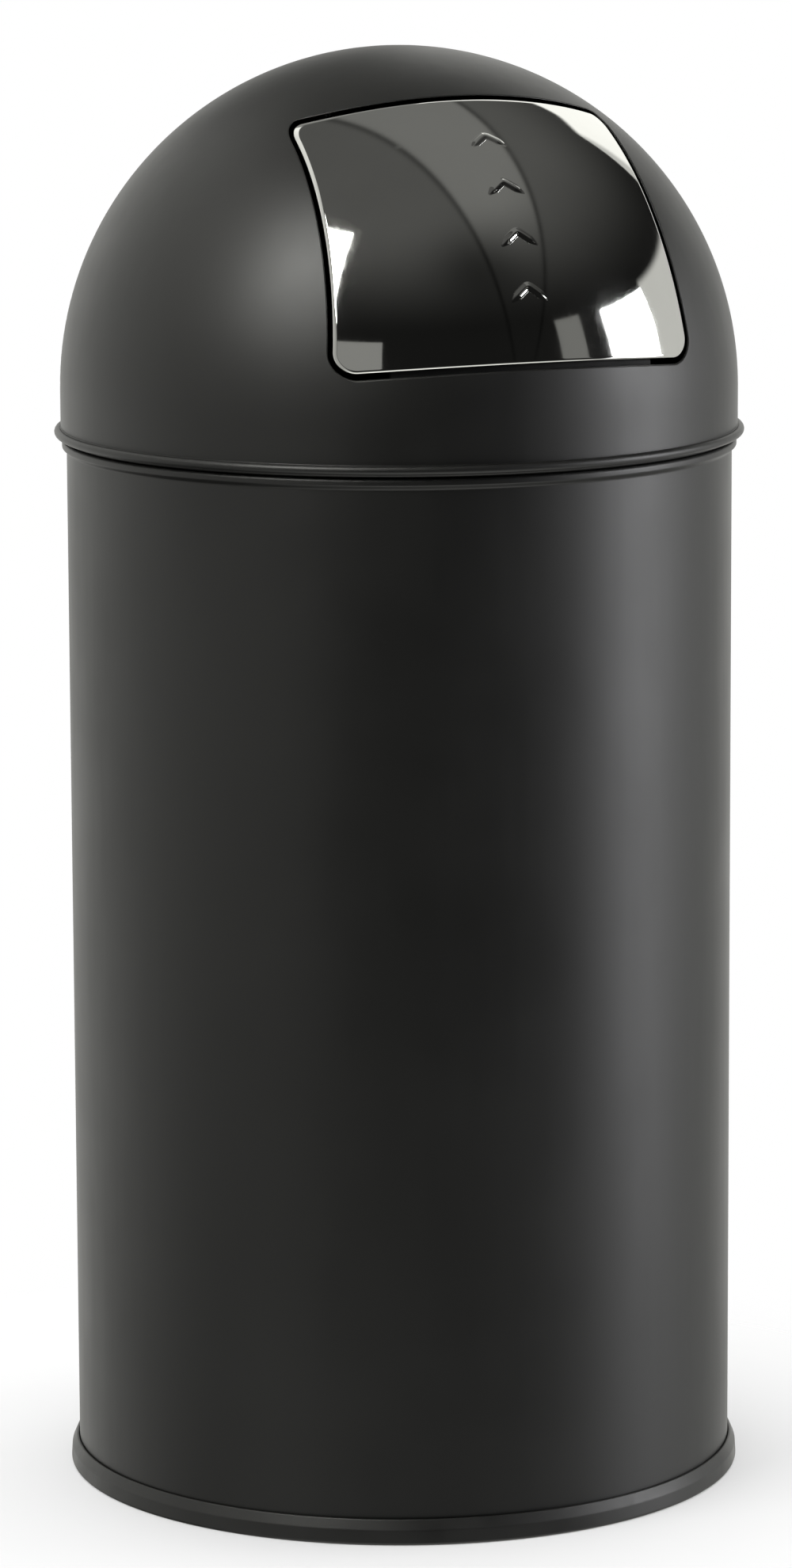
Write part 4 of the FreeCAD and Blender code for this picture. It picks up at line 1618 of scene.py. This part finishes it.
@dataclass(frozen=True)
class Studio:
    """Pale floor, soft lamps, reflected surround and the camera.

    Attributes:
        distance: Camera's distance from the bin's axis.
        height: Camera's height.
        azimuth: Camera's bearing in degrees, negative to the flap's left.
        pitch: How far the camera looks down, in degrees.
        turn: How far it looks past the bin's axis, in degrees.
        roll: How far it leans, in degrees.
        lens: Focal length in millimetres.
        sensor: Long side of the camera's sensor in millimetres.
        ambient: Strength of the even light from all round, where 1 is white.
        floor_size: Half the floor's width.
        floor_fade: Distances from the bin's axis between which the floor fades out.
        floor_tone: Grey level of the floor.
        reach: Radius of the reflected surround.
        middle: Height of the surround's middle.
        surround_end: Elevation of the surround's last row, in degrees.
        surround_rows: Rows of the surround's grid.
        surround_columns: Columns of the surround's grid.
        room: Brightness of the surround.
        panel_share: Distance of the panels, as a share of the surround's radius.
        panel_points: Points along each side of a panel's grid.
        panels: Panels in front of the surround.
        lamps: Lamps round the bin.
    """

    distance: float = 3.3
    height: float = 0.945
    azimuth: float = -23.14
    pitch: float = 10.087
    turn: float = 0.043
    roll: float = -0.264
    lens: float = 148.08
    sensor: float = 36.0
    ambient: float = 0.6
    floor_size: float = 4.0
    floor_fade: Pair = (0.1, 0.4)
    floor_tone: float = 0.93
    reach: float = 2.2
    middle: float = 0.45
    surround_end: float = 89.0
    surround_rows: int = 357
    surround_columns: int = 720
    room: Room = Room()
    panel_share: float = 0.97
    panel_points: int = 13
    panels: tuple[SoftPanel, ...] = (
        SoftPanel("key_panel", (-53.0, -23.5), (28.0, 57.0), (9.5, 18.0), WARM),
        SoftPanel("side_panel", (75.0, 97.0), (-28.0, 24.0), (0.9, 14.0), COOL),
        SoftPanel("right_card", (55.5, 65.5), (2.0, 25.0), (0.2, 0.2), WARM),
        SoftPanel("left_card", (-21.0, -5.5), (6.0, 23.0), (0.28, 0.28), WARM),
    )
    lamps: tuple[SoftLamp, ...] = (
        SoftLamp("top_lamp", 180.0, 80.0, reach=2.2, size=2.0, power=36.0),
        SoftLamp("left_lamp", -46.0, 46.0, reach=2.0, size=1.0, power=14.0),
        SoftLamp("right_lamp", 98.0, 12.0, reach=2.0, size=1.0, power=10.0),
    )

    def bearing(self, azimuth: Array | float, elevation: Array | float) -> Array:
        """Unit directions by their angles, in degrees, from the line to the camera.

        Args:
            azimuth: Angles to the right, seen from the camera.
            elevation: Angles above the horizontal.

        Returns:
            Directions of shape (..., 3).
        """
        round_axis = np.radians(self.azimuth + azimuth)
        tilt = np.radians(elevation)
        level = np.cos(tilt)
        sideways = np.sin(round_axis) * level
        return np.stack([sideways, -np.cos(round_axis) * level, np.sin(tilt)], axis=-1)

    def glowing(self, name: str, mesh: bpy.types.Mesh, glow: Array, tint: Colour) -> None:
        """Puts a mesh in the studio that only reflections show.

        Args:
            name: Name of the object.
            mesh: Its shape.
            glow: Brightness of each vertex.
            tint: Colour of its light.
        """
        attribute = mesh.attributes.new("glow", "FLOAT", "POINT")
        attribute.data.foreach_set("value", glow.astype(np.float32))
        material, sheet = new_material(name)
        level = sheet.add("ShaderNodeAttribute", attribute_name="glow").outputs["Fac"]
        shine = sheet.add("ShaderNodeEmission", {"Color": tint, "Strength": level})
        sheet.add("ShaderNodeOutputMaterial", {"Surface": shine.outputs["Emission"]})
        mesh.materials.append(material)
        made = in_scene(name, mesh)
        made.visible_camera = False
        made.visible_diffuse = False
        made.visible_transmission = False
        made.visible_shadow = False
        made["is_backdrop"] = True

    def reflections(self) -> None:
        """Makes the surround and the panels in front of it, as parts of spheres."""
        azimuth = np.linspace(-180.0, 180.0, self.surround_columns, endpoint=False)
        elevation = np.linspace(-self.surround_end, self.surround_end, self.surround_rows)
        grid = np.meshgrid(azimuth, elevation)
        centre = np.array([0.0, 0.0, self.middle])
        top = np.array([0.0, 0.0, self.reach])
        points = centre + self.reach * self.bearing(*grid)
        surround = GridSurface(points, poles=(centre - top, centre + top)).mesh("surround")
        glow = self.room.brightness(*grid).ravel()
        self.glowing("surround", surround, np.concatenate([glow, glow[[0, -1]]]), WARM)
        count = self.panel_points
        quads = grid_quads(np.arange(count**2).reshape(count, count)).tolist()
        for panel in self.panels:
            across = np.linspace(*panel.azimuth, count)
            upward = np.linspace(*panel.elevation, count)
            outward = self.bearing(*np.meshgrid(across, upward))
            face = centre + self.panel_share * self.reach * outward
            mesh = bpy.data.meshes.new(panel.name)
            mesh.from_pydata(face.reshape(-1, 3).tolist(), [], quads)
            glow = np.repeat(np.linspace(*panel.glow, count), count)
            self.glowing(panel.name, mesh, glow, panel.tint)

    def floor(self) -> None:
        """Makes the pale floor, which fades into the white background away from the bin."""
        size = self.floor_size
        corners = [(-size, -size, 0.0), (size, -size, 0.0), (size, size, 0.0), (-size, size, 0.0)]
        mesh = bpy.data.meshes.new("floor")
        mesh.from_pydata(corners, [], [(0, 1, 2, 3)])
        material, sheet = new_material("pale_floor")
        place = sheet.add("ShaderNodeTexCoord").outputs["Object"]
        away = sheet.add("ShaderNodeVectorMath", {0: place}, operation="LENGTH").outputs["Value"]
        share = sheet.remap(away, self.floor_fade)
        paper = sheet.add("ShaderNodeBsdfDiffuse", {"Color": grey(self.floor_tone)})
        clear = sheet.add("ShaderNodeBsdfTransparent")
        shader = sheet.add("ShaderNodeMixShader", {0: share, 1: paper.outputs[0], 2: clear.outputs[0]})
        sheet.add("ShaderNodeOutputMaterial", {"Surface": shader.outputs[0]})
        mesh.materials.append(material)
        made = in_scene("floor", mesh)
        made.visible_glossy = False
        made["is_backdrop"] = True

    def hang(self, lamp: SoftLamp) -> None:
        """Hangs a soft lamp so that it faces the bin.

        Args:
            lamp: The lamp.
        """
        data = bpy.data.lights.new(lamp.name, "AREA")
        data.shape = "SQUARE"
        data.size = lamp.size
        data.energy = lamp.power
        made = in_scene(lamp.name, data)
        outward = Vector(self.bearing(lamp.azimuth, lamp.elevation).tolist())
        made.location = Vector((0.0, 0.0, self.middle)) + outward * lamp.reach
        made.rotation_euler = (-outward).to_track_quat("-Z", "Y").to_euler()
        made.visible_glossy = False

    def world(self) -> None:
        """Sets an even white world, full white where the camera, metal or glass looks at it."""
        world = bpy.data.worlds.new("white_room")
        world.use_nodes = True
        sheet = NodeSheet(world.node_tree)
        path = sheet.add("ShaderNodeLightPath").outputs
        direct = sheet.combine(path["Is Camera Ray"], path["Is Glossy Ray"])
        seen = sheet.combine(direct, path["Is Transmission Ray"], "MAXIMUM")
        strength = sheet.remap(seen, SHARES, (self.ambient, 1.0))
        back = sheet.add("ShaderNodeBackground", {"Color": grey(1.0), "Strength": strength})
        sheet.add("ShaderNodeOutputWorld", {"Surface": back.outputs["Background"]})
        bpy.context.scene.world = world

    def camera(self) -> None:
        """Stands the camera where the bin shows its flap turned a little to the right."""
        bearing = math.radians(self.azimuth)
        look = bearing + math.radians(self.turn)
        down = math.radians(self.pitch)
        lean = math.radians(self.roll)
        ahead = math.cos(down)
        forward = Vector((-math.sin(look) * ahead, math.cos(look) * ahead, -math.sin(down)))
        level = forward.cross(Vector((0.0, 0.0, 1.0))).normalized()
        upright = level.cross(forward)
        right = level * math.cos(lean) + upright * math.sin(lean)
        up = upright * math.cos(lean) - level * math.sin(lean)
        data = bpy.data.cameras.new("camera")
        data.sensor_width = self.sensor
        data.lens = self.lens
        made = in_scene("camera", data)
        place = Vector((math.sin(bearing), -math.cos(bearing), 0.0)) * self.distance
        place.z = self.height
        axes = Matrix((right, up, -forward)).transposed().to_4x4()
        made.matrix_world = Matrix.Translation(place) @ axes
        bpy.context.scene.camera = made

    def build(self) -> None:
        """Sets up everything round the bin."""
        bpy.context.scene.view_settings.view_transform = "Standard"
        self.world()
        self.floor()
        self.reflections()
        for lamp in self.lamps:
            self.hang(lamp)
        self.camera()


def write_sizes() -> None:
    """Gathers the frame's box and the dressed bin's box as plain numbers."""
    boxes = {"cad": CAD_BOX, "visual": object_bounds()}
    plain = {name: [list(corner) for corner in box] for name, box in boxes.items()}


def main() -> None:
    """Builds the bin's sub-assemblies in order, then the studio round them."""
    logging.basicConfig(level=logging.INFO, format="%(message)s")
    for assembly in (Shell(), Lid(), Flap(), ReturnSpring(), Bucket(), Bail()):
        for made in assembly.build():
            kind = type(assembly).__name__
            LOG.info("%s: %s with %d faces", kind, made.name, len(made.data.polygons))
    Studio().build()
    write_sizes()


if __name__ == "__main__":
    main()
